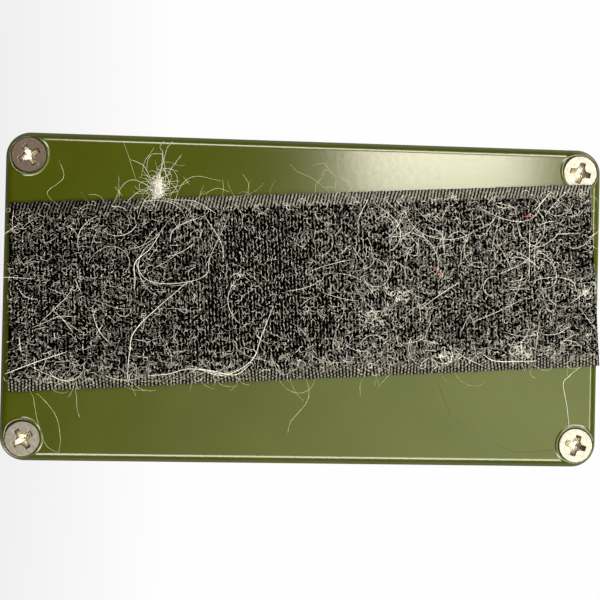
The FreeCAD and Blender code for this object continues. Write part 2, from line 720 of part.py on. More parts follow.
# ------------------------------------------------------------------------------ sockets on the end wall
def plug_socket():
    """Moulded plug socket: a closed housing with its threaded nose through the wall."""
    back = INNER_FACE - SOCKET_LENGTH
    housing = rounded_block(SOCKET_WIDTH, SOCKET_HEIGHT, SOCKET_EDGE, back, INNER_FACE)
    nose = disc(SOCKET_THREAD, INNER_FACE, SOCKET_REACH)
    mouth = cone(PLUG_RADIUS, PLUG_RADIUS + SOCKET_LEAD_IN, SOCKET_REACH - SOCKET_LEAD_IN, SOCKET_REACH)
    bore = disc(PLUG_RADIUS, SOCKET_REACH - SOCKET_DEPTH, SOCKET_REACH + EXTRA)
    return fused(housing, nose).cut([bore, mouth, *socket_channels()])


def socket_channels():
    """Slots beside the bore, in which the two contacts lie."""
    back, front = INNER_FACE - SOCKET_LENGTH - EXTRA, INNER_FACE - CONTACT_SET_BACK + EXTRA
    offset = PLUG_RADIUS + SLOT_HEIGHT / 2 - SLOT_OPENING
    return [bar(SLOT_WIDTH, SLOT_HEIGHT, back, front, 0, side * offset) for side in (-1, 1)]


def socket_contacts():
    """Tip and sleeve contacts, whose tails stand out of the housing's back."""
    back, front = INNER_FACE - SOCKET_LENGTH - CONTACT_TAIL, INNER_FACE - CONTACT_SET_BACK
    offset = PLUG_RADIUS + CONTACT_OFFSET
    return [bar(CONTACT_WIDTH, CONTACT_METAL, back, front, 0, side * offset) for side in (-1, 1)]


def make_plug_sockets():
    nuts, washers = [], []
    for name, x in (("input", SOCKET_X), ("output", -SOCKET_X)):
        save(f"{name}_socket", on_end_wall(plug_socket(), x))
        save(f"{name}_socket_contacts", *[on_end_wall(contact, x) for contact in socket_contacts()])
        washer = ring(SOCKET_WASHER_RADIUS, SOCKET_THREAD + HOLE_GAP, 0, SOCKET_WASHER)
        washers.append(on_end_wall(washer, x))
        nut_top = SOCKET_WASHER + SOCKET_NUT_HEIGHT
        hexagonal = nut(SOCKET_NUT, SOCKET_THREAD + THREAD_GAP, SOCKET_WASHER, nut_top)
        nuts.append(on_end_wall(hexagonal, x))
    save("socket_nuts", *nuts)
    save("socket_washers", *washers)


def make_power_socket():
    """Barrel socket, pushed in from outside and held by a nut behind the wall."""
    face, back = POWER_FACE, -POWER_LENGTH
    floor, tail_end = back + POWER_BACK, back - POWER_TAIL
    body = fused(disc(POWER_FLANGE, 0, face), disc(POWER_THREAD, back, 0))
    bore = disc(POWER_RADIUS, floor, face + EXTRA)
    mouth = cone(POWER_RADIUS, POWER_RADIUS + POWER_LEAD_IN, face - POWER_LEAD_IN, face)
    beside, slot_top = POWER_RADIUS + POWER_LEAD_IN, -POWER_SLOT_SET_BACK
    slot = bar(POWER_SLOT_WIDTH, POWER_SLOT_HEIGHT, back - EXTRA, slot_top, 0, beside)
    tail = disc(POWER_PIN_RADIUS - POWER_TAIL_NECK, tail_end, floor)
    save("power_socket", on_end_wall(body.cut([bore, mouth, slot, tail]), 0))
    point = face - POWER_PIN_SET_BACK
    pin = disc(POWER_PIN_RADIUS, floor, point)
    tip = cone(POWER_PIN_RADIUS, POWER_PIN_TIP_RADIUS, point, point + POWER_PIN_POINT)
    save("power_socket_pin", on_end_wall(fused(tail, pin, tip), 0))
    leaf = bar(POWER_LEAF_WIDTH, POWER_LEAF_METAL, tail_end, slot_top - FIT_GAP, 0, beside)
    save("power_socket_spring", on_end_wall(leaf, 0))
    hexagonal = nut(SOCKET_NUT, POWER_THREAD + THREAD_GAP, INNER_FACE - POWER_NUT_HEIGHT, INNER_FACE)
    save("power_socket_nut", on_end_wall(hexagonal, 0))


# ------------------------------------------------------------------------------ main board and its parts
def make_main_board(through):
    length = BOARD_FAR - BOARD_NEAR
    board = rounded_block(BOARD_WIDTH, length, BOARD, BOARD_LOW, BOARD_LOW + BOARD)
    save("main_board", at(board, 0, (BOARD_FAR + BOARD_NEAR) / 2).cut(through))


def axial_part(body_radius, body_length, span):
    """Resistor or diode lying under the board along Y, with its leads bent up to the board."""
    centre = BOARD_LOW - body_radius - PART_GAP
    body = at(turned(disc(body_radius, -body_length / 2, body_length / 2), 90, X_AXIS), 0, 0, centre)
    end = span / 2
    route = [(0, -end, BOARD_LOW), (0, -end, centre), (0, end, centre), (0, end, BOARD_LOW)]
    return fused(body, wire(route, LEAD_RADIUS))


def transistor():
    """Half-round plastic transistor on three legs."""
    high = BOARD_LOW - TRANSISTOR_LEGS
    low = high - TRANSISTOR_HEIGHT
    wide = 2 * TRANSISTOR_RADIUS
    flat = bar(wide, wide, low - EXTRA, high + EXTRA, 0, TRANSISTOR_FLAT + TRANSISTOR_RADIUS)
    body = disc(TRANSISTOR_RADIUS, low, high).cut(flat)
    legs = [at(disc(LEAD_RADIUS, high, BOARD_LOW), x) for x in (-LEAD_PITCH, 0, LEAD_PITCH)]
    return fused(body, *legs)


def chip():
    """Eight-pin amplifier chip, legs up, in its socket under the board."""
    high = BOARD_LOW - CHIP_SOCKET_HEIGHT
    body = bar(*CHIP_BODY, high - FIT_GAP - CHIP_HEIGHT, high - FIT_GAP)
    leg_x = CHIP_BODY[0] / 2 + SQUARE_LEAD / 2
    legs = [
        bar(SQUARE_LEAD, LEAD_PITCH, high - CHIP_HEIGHT / 2, high, side * leg_x, row * LEAD_PITCH)
        for side in (-1, 1)
        for row in (-3, -1, 1, 3)
    ]
    return fused(body, *legs)


def make_components():
    low = BOARD_LOW
    columns = [side * step for side in (-1, 1) for step in (10, 15, 20, 25)]
    places = [(x, NEAR_ROW) for x in (-5, 5, *columns)] + [(x, FAR_ROW) for x in columns]
    save("resistors", *[at(axial_part(*RESISTOR), x, y) for x, y in places])
    save("diodes", *[at(turned(axial_part(*DIODE), 90), x, END_ROW) for x in (-4.5, 4.5)])
    across, along, down = FILM
    save("film_capacitors", *[bar(across, along, low - down, low, x, FILM_ROW) for x in FILM_COLUMNS])
    across, along, down = CERAMIC
    discs = [bar(across, along, low - down, low, x, CERAMIC_ROW) for x in CERAMIC_COLUMNS]
    save("ceramic_capacitors", *discs)
    cans = [at(disc(CAN_RADIUS, low - CAN_HEIGHT, low), x, END_ROW) for x in (-12, 12)]
    cans.append(at(disc(SMALL_CAN_RADIUS, low - SMALL_CAN_HEIGHT, low), *SMALL_CAN_PLACE))
    rounded = [can.makeFillet(CAN_EDGE, edges_at(can, can.BoundBox.ZMin)) for can in cans]
    save("electrolytic_capacitors", *rounded)
    save("transistors", *[at(transistor(), x, TRANSISTOR_ROW) for x in (-12.5, 12.5)])
    save("chip", at(chip(), 0, KNOB_Y))
    socket = bar(*CHIP_SOCKET, low - CHIP_SOCKET_HEIGHT, low, 0, KNOB_Y)
    hole = bar(*CHIP_SOCKET_HOLE, low - CHIP_SOCKET_HEIGHT - EXTRA, low + EXTRA, 0, KNOB_Y)
    save("chip_socket", socket.cut(hole))


def make_wires():
    """Wires from the three sockets and from the footswitch's board to the main board."""
    wall = BOX_LENGTH / 2 - (SOCKET_Z - RIM) * LEAN
    tails = wall + INNER_FACE - SOCKET_LENGTH - CONTACT_TAIL - WIRE_GAP
    level = SOCKET_Z - (SOCKET_LENGTH + WALL) * LEAN
    contact = PLUG_RADIUS + CONTACT_OFFSET
    sockets = []
    for x in (-SOCKET_X, SOCKET_X):
        upper, lower = (x, tails, level + contact), (x, tails, level - contact)
        sockets.append(socket_wire(upper, x, tails - UPPER_WIRE_REACH))
        sockets.append(socket_wire(lower, LOWER_WIRE_SPREAD * x, tails - LOWER_WIRE_REACH))
    save("socket_wires", *sockets)
    tails = wall - POWER_LENGTH - POWER_TAIL - WIRE_GAP
    level = SOCKET_Z - (POWER_LENGTH + POWER_TAIL) * LEAN
    leaf_level = level - POWER_RADIUS - POWER_LEAD_IN
    save("power_wires", power_wire(tails, level, 2.0), power_wire(tails, leaf_level, -2.0))
    near, far = BOARD_NEAR + BOARD_EDGE, FOOT_Y + FOOT_BOARD_LENGTH / 2 - BOARD_EDGE
    low = FOOT_BOARD_LOW + BOARD
    middle = (low + BOARD_LOW) / 2
    save("footswitch_wires", *[
        wire([(x, near, BOARD_LOW), (x, near, middle), (x, far, middle), (x, far, low)])
        for x in (-7.5, -4.5, -1.5, 1.5, 4.5, 7.5)
    ])


def socket_wire(start, x, y):
    """From a contact's tail back under the board, then up to it."""
    return wire([start, (x, y, start[2]), (x, y, BOARD_LOW)], THIN_WIRE_RADIUS)


def power_wire(tails, level, x):
    """From the power socket forward between the plug sockets, then up to the board's edge."""
    y = BOARD_FAR - BOARD_EDGE
    bend = (x, tails - POWER_WIRE_REACH, level)
    return wire([(0, tails, level), bend, (x, y, level + 1.0), (x, y, BOARD_LOW)], THIN_WIRE_RADIUS)


def main():
    os.makedirs("parts", exist_ok=True)
    make_tape()
    make_cover()
    make_screws()
    make_box()
    through = make_knobs() + make_lamp()
    make_footswitch()
    make_plug_sockets()
    make_power_socket()
    make_main_board(through)
    make_components()
    make_wires()


main()
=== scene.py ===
import math

import bpy
import numpy as np
from mathutils import Matrix, Vector


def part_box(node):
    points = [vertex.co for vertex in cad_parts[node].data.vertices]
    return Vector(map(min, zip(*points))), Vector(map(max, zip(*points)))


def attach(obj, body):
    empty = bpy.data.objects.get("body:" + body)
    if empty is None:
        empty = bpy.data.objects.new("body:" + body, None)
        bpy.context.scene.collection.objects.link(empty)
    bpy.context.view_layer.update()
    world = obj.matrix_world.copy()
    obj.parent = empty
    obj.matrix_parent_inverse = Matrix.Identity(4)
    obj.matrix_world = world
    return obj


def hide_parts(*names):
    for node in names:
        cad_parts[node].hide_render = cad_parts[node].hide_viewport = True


# An effects pedal in its natural pose, controls up, with hook tape on its underside at z = 0.
# Lengths in this script are in millimetres and become metres where a mesh, a light or the camera is made.

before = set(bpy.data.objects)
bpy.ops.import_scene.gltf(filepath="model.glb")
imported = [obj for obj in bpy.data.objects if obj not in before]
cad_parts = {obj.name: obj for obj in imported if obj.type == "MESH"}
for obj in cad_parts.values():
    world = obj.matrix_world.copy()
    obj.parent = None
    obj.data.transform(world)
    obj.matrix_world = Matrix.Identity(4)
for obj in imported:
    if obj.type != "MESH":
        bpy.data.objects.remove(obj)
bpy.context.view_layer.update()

MM = 0.001
BODY = "enclosure"

# ---------- levels and places, from the frame


def millimetres(node):
    """The lowest and highest corner of a CAD node."""
    low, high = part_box(node)
    return np.array(low) / MM, np.array(high) / MM


HOOK_LEVEL = millimetres("tape_hooks")[0][2]
WEAVE_LEVEL = millimetres("tape_backing")[0][2]
GLUE_LEVEL = millimetres("tape_adhesive")[0][2]
COVER_FACE = millimetres("bottom_cover")[0][2]
COVER_HALF_WIDTH, COVER_HALF_LENGTH = millimetres("bottom_cover")[1][:2]
SEAM_LEVEL = millimetres("box_shell")[0][2]
SCREW_FACE = millimetres("cover_screws")[0][2]
SCREW_END = millimetres("cover_screws")[1][2]

# the tape, stuck on a little askew
TAPE_WIDTH = 37.5
TAPE_LENGTH = 118.9
TAPE_TURN = math.radians(3.5)
TAPE_CENTRE = np.array([3.3, 0.1])
TAPE_CUT_NEAR = math.tan(math.radians(2.6))
TAPE_CUT_FAR = math.tan(math.radians(0.8))
SELVEDGE = 2.5
ALONG = np.array([math.sin(TAPE_TURN), math.cos(TAPE_TURN)])
ACROSS = np.array([math.cos(TAPE_TURN), -math.sin(TAPE_TURN)])


def on_tape(u, v):
    """Frame x and y of a point u along the tape from its middle and v across it."""
    return TAPE_CENTRE + np.multiply.outer(u, ALONG) + np.multiply.outer(v, ACROSS)


def tape_end(v, far):
    """How far along the tape its cut end is, at v across it."""
    return TAPE_LENGTH / 2 - v * TAPE_CUT_FAR if far else -TAPE_LENGTH / 2 + v * TAPE_CUT_NEAR


def across_of(points):
    """How far across the tape each frame point is."""
    return (points[..., :2] - TAPE_CENTRE) @ ACROSS


def along_of(points):
    """How far along the tape each frame point is."""
    return (points[..., :2] - TAPE_CENTRE) @ ALONG


# ---------- camera


def aimed(eye, target, up):
    """The turn of a camera or lamp at eye that looks at target, with its top towards up."""
    forward = (Vector(target) - Vector(eye)).normalized()
    right = forward.cross(Vector(up)).normalized()
    return Matrix((right, right.cross(forward), -forward)).transposed().to_euler()


CAMERA_PLACE = (-0.915, -12.301, -179.905)
CAMERA_AIM = (0.446, -1.303, 2.4)
CAMERA_ROLL = math.radians(1.264)

camera = bpy.data.objects.new("camera", bpy.data.cameras.new("camera"))
bpy.context.scene.collection.objects.link(camera)
camera.data.sensor_width = 36
camera.data.lens = 54
camera.data.clip_start = 0.01
camera.data.clip_end = 100
camera.location = Vector(CAMERA_PLACE) * MM
camera.rotation_euler = aimed(CAMERA_PLACE, CAMERA_AIM, (math.cos(CAMERA_ROLL), -math.sin(CAMERA_ROLL), 0))
bpy.context.scene.camera = camera
bpy.context.scene.view_settings.view_transform = "Standard"

# ---------- studio

LAMP_POWER = 4  # watts for each square metre of a lamp of radiance 1


def softbox(name, place, target, size, radiance, colour):
    """A soft rectangular lamp. Its two sizes run along X and Y where it faces straight up or down."""
    light = bpy.data.lights.new(name, "AREA")
    light.shape = "RECTANGLE"
    light.size, light.size_y = (side * MM for side in size)
    light.energy = LAMP_POWER * radiance * light.size * light.size_y
    light.color = colour
    lamp = bpy.data.objects.new(name, light)
    bpy.context.scene.collection.objects.link(lamp)
    lamp.location = Vector(place) * MM
    lamp.rotation_euler = aimed(place, target, (0, 1, 0))
    lamp.visible_camera = False


WARM = (1, 0.95, 0.77)
LEAFY = (0.90, 1, 0.62)
CREAM = (1, 0.96, 0.85)
LAMP_LEVEL = -600
WINDOW_X, WINDOW_Y = 154, 160
FILL_X, FILL_WIDTH = -160, 420
FILL_NEAR_END, FILL_FAR_END = -180, 600
FILL_COUNT, FILL_STEP, FILL_DROP = 5, 90, 4
MIDDLE = (0, 0, 0)
ABOVE_MIDDLE = (0, 0, 30)

softbox("window", (WINDOW_X, WINDOW_Y, LAMP_LEVEL), (WINDOW_X, WINDOW_Y, 0), (130, 164), 12.5, WARM)
for step in range(FILL_COUNT):  # brighter by steps towards the far end
    near_end = FILL_NEAR_END + FILL_STEP * step
    middle = (near_end + FILL_FAR_END) / 2
    level = LAMP_LEVEL - FILL_DROP * step
    sizes = (FILL_WIDTH, FILL_FAR_END - near_end)
    softbox(f"fill_{step + 1}", (FILL_X, middle, level), (FILL_X, middle, 0), sizes, 0.31, LEAFY)
softbox("strip_right", (270, 110, -320), MIDDLE, (90, 560), 10.6, CREAM)
softbox("strip_far", (0, 330, -330), MIDDLE, (480, 60), 9, CREAM)
softbox("strip_left", (-250, 60, -300), MIDDLE, (115, 600), 9.2, CREAM)
softbox("top_key", (-700, -900, 1100), ABOVE_MIDDLE, (700, 700), 7, (1, 0.98, 0.95))
softbox("top_rim", (900, 500, 900), ABOVE_MIDDLE, (500, 900), 3.4, (0.95, 0.98, 1))


def plug(tree, socket, value):
    """Sets a node's socket to a number or a colour, or links another node's output to it."""
    if isinstance(value, bpy.types.NodeSocket):
        tree.links.new(value, socket)
    elif isinstance(value, tuple) and socket.type == "RGBA":
        socket.default_value = (*value, 1)
    else:
        socket.default_value = value


def ramp(tree, value, low, high, to_low, to_high):
    """A value's stretch from low to high, as to_low to to_high."""
    made = tree.nodes.new("ShaderNodeMapRange")
    inputs = {"Value": value, "From Min": low, "From Max": high, "To Min": to_low, "To Max": to_high}
    for name, given in inputs.items():
        plug(tree, made.inputs[name], given)
    return made.outputs["Result"]


def one_of_two(tree, share, first, second, output):
    """Sends a mix of two shaders to an output node."""
    mix = tree.nodes.new("ShaderNodeMixShader")
    tree.links.new(share, mix.inputs["Fac"])
    tree.links.new(first.outputs[0], mix.inputs[1])
    tree.links.new(second.outputs[0], mix.inputs[2])
    tree.links.new(mix.outputs[0], tree.nodes[output].inputs["Surface"])


AIR_BELOW, AIR_OVERHEAD = 0.015, 0.5
BACKDROP_AT_HORIZON = 0.5
BACKDROP_NEAR, BACKDROP_FAR = 0.82, 0.99


def studio_air():
    """Dim below and brighter overhead. The camera sees a pale backdrop, greyer overhead towards -Y."""
    world = bpy.data.worlds.new("studio")
    bpy.context.scene.world = world
    world.use_nodes = True
    tree = world.node_tree
    direction = tree.nodes.new("ShaderNodeSeparateXYZ")
    tree.links.new(tree.nodes.new("ShaderNodeTexCoord").outputs["Generated"], direction.inputs[0])
    air = tree.nodes["Background"]
    plug(tree, air.inputs["Color"], (1, 1, 1))
    plug(tree, air.inputs["Strength"], ramp(tree, direction.outputs["Z"], 0, 0.4, AIR_BELOW, AIR_OVERHEAD))
    pale = tree.nodes.new("ShaderNodeBackground")
    plug(tree, pale.inputs["Color"], (1, 1, 1))
    overhead = ramp(tree, direction.outputs["Y"], -0.32, -0.08, BACKDROP_NEAR, BACKDROP_FAR)
    backdrop = ramp(tree, direction.outputs["Z"], 0.3, 0.7, BACKDROP_AT_HORIZON, overhead)
    plug(tree, pale.inputs["Strength"], backdrop)
    seen = tree.nodes.new("ShaderNodeLightPath").outputs["Is Camera Ray"]
    one_of_two(tree, seen, air, pale, "World Output")


studio_air()

FLOOR_HALF = 20000
FLOOR_GAP = 0.05
FLOOR_COLOUR = (0.86, 0.8643, 0.903)


def studio_floor():
    """A pale floor that shows only from above, and lets the lamps below it through."""
    level = (HOOK_LEVEL - FLOOR_GAP) * MM
    half = FLOOR_HALF * MM
    mesh = bpy.data.meshes.new("floor")
    corners = [(-half, -half, level), (half, -half, level), (half, half, level), (-half, half, level)]
    mesh.from_pydata(corners, [], [(0, 1, 2, 3)])
    plane = bpy.data.objects.new("floor", mesh)
    bpy.context.scene.collection.objects.link(plane)
    paper = bpy.data.materials.new("floor")
    paper.use_nodes = True
    tree = paper.node_tree
    shader = tree.nodes["Principled BSDF"]
    plug(tree, shader.inputs["Base Color"], FLOOR_COLOUR)
    plug(tree, shader.inputs["Roughness"], 0.9)
    plug(tree, shader.inputs["Specular IOR Level"], 0.1)
    plug(tree, shader.inputs["Emission Color"], (1, 1, 1))
    plug(tree, shader.inputs["Emission Strength"], 0.1)
    from_below = tree.nodes.new("ShaderNodeNewGeometry").outputs["Backfacing"]
    clear = tree.nodes.new("ShaderNodeBsdfTransparent")
    one_of_two(tree, from_below, shader, clear, "Material Output")
    mesh.materials.append(paper)
    plane.visible_shadow = False
    plane.visible_diffuse = False
    plane.visible_glossy = False
    plane.visible_transmission = False


# The camera looks up at the underside, so the floor is one-sided and leaves that view open.
# Behind the object, as that camera sees it, is the backdrop overhead.
studio_floor()

# ---------- meshes


def shown(name, points, corner_indices, corner_counts, material):
    """A smooth mesh from millimetre points and a flat list of face corners, riding on the enclosure."""
    mesh = bpy.data.meshes.new(name)
    points = np.asarray(points, np.float32).reshape(-1, 3) * MM
    corner_counts = np.asarray(corner_counts, np.int32)
    mesh.vertices.add(len(points))
    mesh.vertices.foreach_set("co", points.ravel())
    mesh.loops.add(len(corner_indices))
    mesh.loops.foreach_set("vertex_index", np.asarray(corner_indices, np.int32))
    mesh.polygons.add(len(corner_counts))
    starts = np.concatenate([[0], np.cumsum(corner_counts)[:-1]])
    mesh.polygons.foreach_set("loop_start", starts.astype(np.int32))
    mesh.update(calc_edges=True)
    mesh.validate()
    mesh.shade_smooth()
    mesh.materials.append(material)
    made = bpy.data.objects.new(name, mesh)
    bpy.context.scene.collection.objects.link(made)
    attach(made, BODY)
    return made


def paint_points(made, name, values):
    """Stores one number for each point of a mesh, which its material reads."""
    stored = made.data.attributes.new(name, "FLOAT", "POINT")
    stored.data.foreach_set("value", np.asarray(values, np.float32).ravel())


def tubes(name, paths, radii, flat_axis, sides, material, tint):
    """Many thin tubes in one mesh: paths (count, steps, 3), radii (count, steps), one tint for each."""
    count, steps = radii.shape
    forward = np.gradient(paths, axis=1)
    forward /= np.linalg.norm(forward, axis=2, keepdims=True) + 1e-9
    side = np.cross(forward, flat_axis[:, None, :])
    side /= np.linalg.norm(side, axis=2, keepdims=True) + 1e-9
    up = np.cross(side, forward)
    turn = np.arange(sides) * 2 * math.pi / sides
    ring = np.cos(turn)[:, None] * side[:, :, None, :] + np.sin(turn)[:, None] * up[:, :, None, :]
    points = paths[:, :, None, :] + radii[:, :, None, None] * ring
    index = np.arange(count * steps * sides).reshape(count, steps, sides)
    here, there = index[:, :-1], index[:, 1:]
    walls = np.stack([here, there, np.roll(there, -1, 2), np.roll(here, -1, 2)], -1)
    ends = np.concatenate([index[:, 0].ravel(), index[:, -1, ::-1].ravel()])
    corners = np.concatenate([walls.ravel(), ends])
    counts = [4] * (walls.size // 4) + [sides] * (2 * count)
    made = shown(name, points, corners, counts, material)
    paint_points(made, "tint", np.repeat(tint, steps * sides))
    return made


def closed_slab(name, top, low, material):
    """A sheet with a detailed face, (rows, columns, 3), and a plain back at height low."""
    rows, columns = top.shape[:2]
    index = np.arange(rows * columns).reshape(rows, columns)
    back = top[:, [0, -1]].copy()
    back[:, :, 2] = low
    other = index.size + np.arange(rows * 2).reshape(rows, 2)
    face = np.stack([index[:-1, :-1], index[1:, :-1], index[1:, 1:], index[:-1, 1:]], -1)
    under = np.stack([other[:-1, 0], other[:-1, 1], other[1:, 1], other[1:, 0]], -1)
    left = np.stack([index[:-1, 0], other[:-1, 0], other[1:, 0], index[1:, 0]], -1)
    right = np.stack([index[:-1, -1], index[1:, -1], other[1:, 1], other[:-1, 1]], -1)
    quads = np.concatenate([face.ravel(), under.ravel(), left.ravel(), right.ravel()])
    first = np.concatenate([index[0], other[0, ::-1]])
    last = np.concatenate([index[-1, ::-1], other[-1]])
    corners = np.concatenate([quads, first, last])
    counts = [4] * (quads.size // 4) + [len(first), len(last)]
    points = np.concatenate([top.reshape(-1, 3), back.reshape(-1, 3)])
    return shown(name, points, corners, counts, material)


# ---------- materials


class Surface:
    """A principled material in the making. Its textures are measured in the frame's own millimetres."""

    def __init__(self, name, **constants):
        self.material = bpy.data.materials.new(name)
        self.material.use_nodes = True
        self.tree = self.material.node_tree
        self.shader = self.tree.nodes["Principled BSDF"]
        self.place = self.tree.nodes.new("ShaderNodeTexCoord").outputs["Object"]
        self.height = None
        for key, value in constants.items():
            plug(self.tree, self.shader.inputs[key.replace("_", " ")], value)

    def node(self, kind, settings=(), **inputs):
        """A new node. Each input, by name or as i and its number, is a number, colour or node's output."""
        made = self.tree.nodes.new("ShaderNode" + kind)
        for key, value in dict(settings).items():
            setattr(made, key, value)
        for key, value in inputs.items():
            socket = int(key[1:]) if key[1:].isdigit() else key.replace("_", " ")
            plug(self.tree, made.inputs[socket], value)
        return made

    def noise(self, size, detail=3.0, roughness=0.5, stretch=(1, 1, 1)):
        """Noise with features about size millimetres across, stretched along the axes."""
        shrink = tuple(1 / s for s in stretch)
        scaled = self.node("VectorMath", {"operation": "MULTIPLY"}, i0=self.place, i1=shrink)
        return self.node("TexNoise", Vector=scaled.outputs[0], Scale=1 / (size * MM), Detail=detail,
                         Roughness=roughness).outputs["Fac"]

    def cells(self, size, randomness=1.0):
        """The distance from the nearest of many scattered points, size millimetres apart."""
        return self.node("TexVoronoi", Vector=self.place, Scale=1 / (size * MM),
                         Randomness=randomness).outputs["Distance"]

    def attribute(self, name):
        """The number stored for each point of the mesh."""
        return self.node("Attribute", {"attribute_name": name}).outputs["Fac"]

    def spread(self, value, low, high, to_low=0.0, to_high=1.0):
        """A value's stretch from low to high, as to_low to to_high."""
        return ramp(self.tree, value, low, high, to_low, to_high)

    def maths(self, operation, first, second):
        """One sum on two numbers."""
        return self.node("Math", {"operation": operation}, i0=first, i1=second).outputs[0]

    def mixed(self, share, first, second):
        """A mix of two colours, each a colour or another node's output."""
        made = self.node("Mix", {"data_type": "RGBA"}, i0=share)
        plug(self.tree, made.inputs[6], first)
        plug(self.tree, made.inputs[7], second)
        return made.outputs[2]

    def colour(self, value):
        """The surface's colour."""
        self.tree.links.new(value, self.shader.inputs["Base Color"])
        return self

    def roughness(self, value):
        """How rough the surface is."""
        self.tree.links.new(value, self.shader.inputs["Roughness"])
        return self

    def bump(self, value, depth):
        """Relief of up to depth millimetres, on top of any relief already there."""
        inputs = {"Height": value, "Distance": depth * MM}
        if self.height:
            inputs["Normal"] = self.height
        self.height = self.node("Bump", **inputs).outputs["Normal"]
        self.tree.links.new(self.height, self.shader.inputs["Normal"])
        return self


SEAM_DIRT_AND_SHADE_FULL, SEAM_DIRT_AND_SHADE_GONE = 0.3, 2.2  # how far from the cover's seam its dirt and painted shade are full, and gone
MATTE_LEVEL = COVER_FACE + 1.6  # the side of the cover's rounding
MATTE_FULL, MATTE_GONE = 0.9, 1.4  # from that level


def powder_coat(name, dirt_and_shade_by_points=False):
    """Olive powder coat: orange peel, faint clouds, a little dust, and dirt with painted shade along the
    cover's seam.

    It is matte on the side of the rounding, so the lamps below the floor don't glow there in side views."""
    s = Surface(name, IOR=1.65)
    cloud = s.spread(s.noise(14, 4), 0.35, 0.65)
    olive = s.mixed(cloud, (0.034, 0.041, 0.0006), (0.039, 0.047, 0.0014))
    dust = s.spread(s.noise(0.35, 4, 0.7), 0.62, 0.8, 0, 0.12)
    dusty = s.mixed(dust, olive, (0.11, 0.115, 0.06))
    level = s.node("SeparateXYZ", Vector=s.place).outputs["Z"]
    seam = s.maths("ABSOLUTE", s.maths("SUBTRACT", level, SEAM_LEVEL * MM), 0)
    # Painted shade with dirt: near black at the cover's seam, fading out within a couple of millimetres.
    by_seam = s.spread(seam, SEAM_DIRT_AND_SHADE_FULL * MM, SEAM_DIRT_AND_SHADE_GONE * MM, 0.85, 0)
    dirt_and_shade = s.attribute("dirt_and_shade") if dirt_and_shade_by_points else by_seam
    s.colour(s.mixed(dirt_and_shade, dusty, (0.006, 0.008, 0.001)))
    from_rim = s.maths("ABSOLUTE", s.maths("SUBTRACT", level, MATTE_LEVEL * MM), 0)
    matte = s.spread(from_rim, MATTE_FULL * MM, MATTE_GONE * MM, 0.6, 0)
    s.roughness(s.maths("ADD", s.spread(s.noise(0.8, 3), 0.3, 0.7, 0.15, 0.19), matte))
    return s.bump(s.noise(1.3, 2), 0.006).bump(s.noise(0.4, 2), 0.002).material


def plated_steel(name, colour, roughness, brush=0.25):
    """Bright plating with fine scratches and dull patches."""
    s = Surface(name, Metallic=1.0)
    patch = s.spread(s.noise(1.1, 4, 0.6), 0.35, 0.7)
    worn = tuple(c * 0.72 for c in colour)
    s.colour(s.mixed(patch, colour, worn))
    scratch = s.noise(brush, 3, 0.6, (1, 9, 1))
    s.roughness(s.spread(scratch, 0.3, 0.7, roughness * 0.75, roughness * 1.3))
    return s.bump(scratch, 0.004).material


def sandy_plating():
    """The cover screws' dull nickel: a sandy face, tarnished and dimmed as painted shade more on some, paler
    and brassy down in the recess as a painted highlight, and painted shade just inside the recess's rim.
    """
    s = Surface("screw_plating", Metallic=1.0)
    patch = s.spread(s.noise(0.9, 4, 0.7), 0.35, 0.68)
    plating = s.mixed(patch, (0.43, 0.413, 0.385), (0.265, 0.248, 0.22))
    # Tarnish with painted shade: the two screws at small y are dimmed, standing in for the dark room they
    # reflect.
    tarnished_and_shaded = s.mixed(s.attribute("tarnish_and_shade"), plating, (0.128, 0.084, 0.073))
    speck = s.spread(s.noise(0.2, 3, 0.7), 0.52, 0.7, 0, 0.6)
    deep = s.attribute("deep")
    # Paler and brassy down in the recess: the recess's own tint, and a painted highlight.
    recessed = s.mixed(deep, s.mixed(speck, tarnished_and_shaded, (0.10, 0.085, 0.07)), (0.66, 0.61, 0.51))
    # Painted shade: a near-black band just inside the recess's rim.
    outline = s.maths("MULTIPLY", s.spread(deep, 0.03, 0.16), s.spread(deep, 0.3, 0.55, 0.65, 0))
    s.colour(s.mixed(outline, recessed, (0.05, 0.038, 0.025)))
    s.roughness(s.spread(deep, 0, 0.5, 0.5, 0.27))
    burr = s.maths("MULTIPLY", s.noise(0.5, 2, 0.6), deep)
    return s.bump(s.noise(0.16, 2, 0.6), 0.03).bump(s.noise(0.6, 3, 0.6), 0.04).bump(burr, 0.1).material


def moulded(name, colour, roughness, grain=0.25, depth=0.01):
    """Moulded plastic with a fine grain, and a little dust in it."""
    s = Surface(name)
    dust = s.spread(s.noise(0.5, 4, 0.7), 0.6, 0.8, 0, 0.2)
    s.colour(s.mixed(dust, colour, tuple(0.5 * c + 0.09 for c in colour)))
    s.roughness(s.spread(s.noise(3, 3), 0.3, 0.7, roughness * 0.85, roughness * 1.2))
    return s.bump(s.noise(grain, 2), depth).material


def woven_tape():
    """Black yarn that reads grey where it catches dust, and near black elsewhere, painted shade. The mesh
    says how near the crest a point is.
    """
    s = Surface("woven_tape", Specular_IOR_Level=0.01)
    crest = s.spread(s.attribute("crest"), 0.3, 0.85)
    fluff = s.spread(s.noise(0.16, 3, 0.65), 0.32, 0.7)
    dusty = s.mixed(fluff, (0.05, 0.047, 0.043), (0.40, 0.375, 0.335))
    # The low end of the mix is near black: painted shade in the gaps and under the hooks.
    s.colour(s.mixed(crest, (0.0002, 0.0002, 0.0002), dusty))
    s.roughness(s.spread(fluff, 0, 1, 0.55, 0.8))
    return s.bump(s.noise(0.12, 3, 0.7), 0.03).material


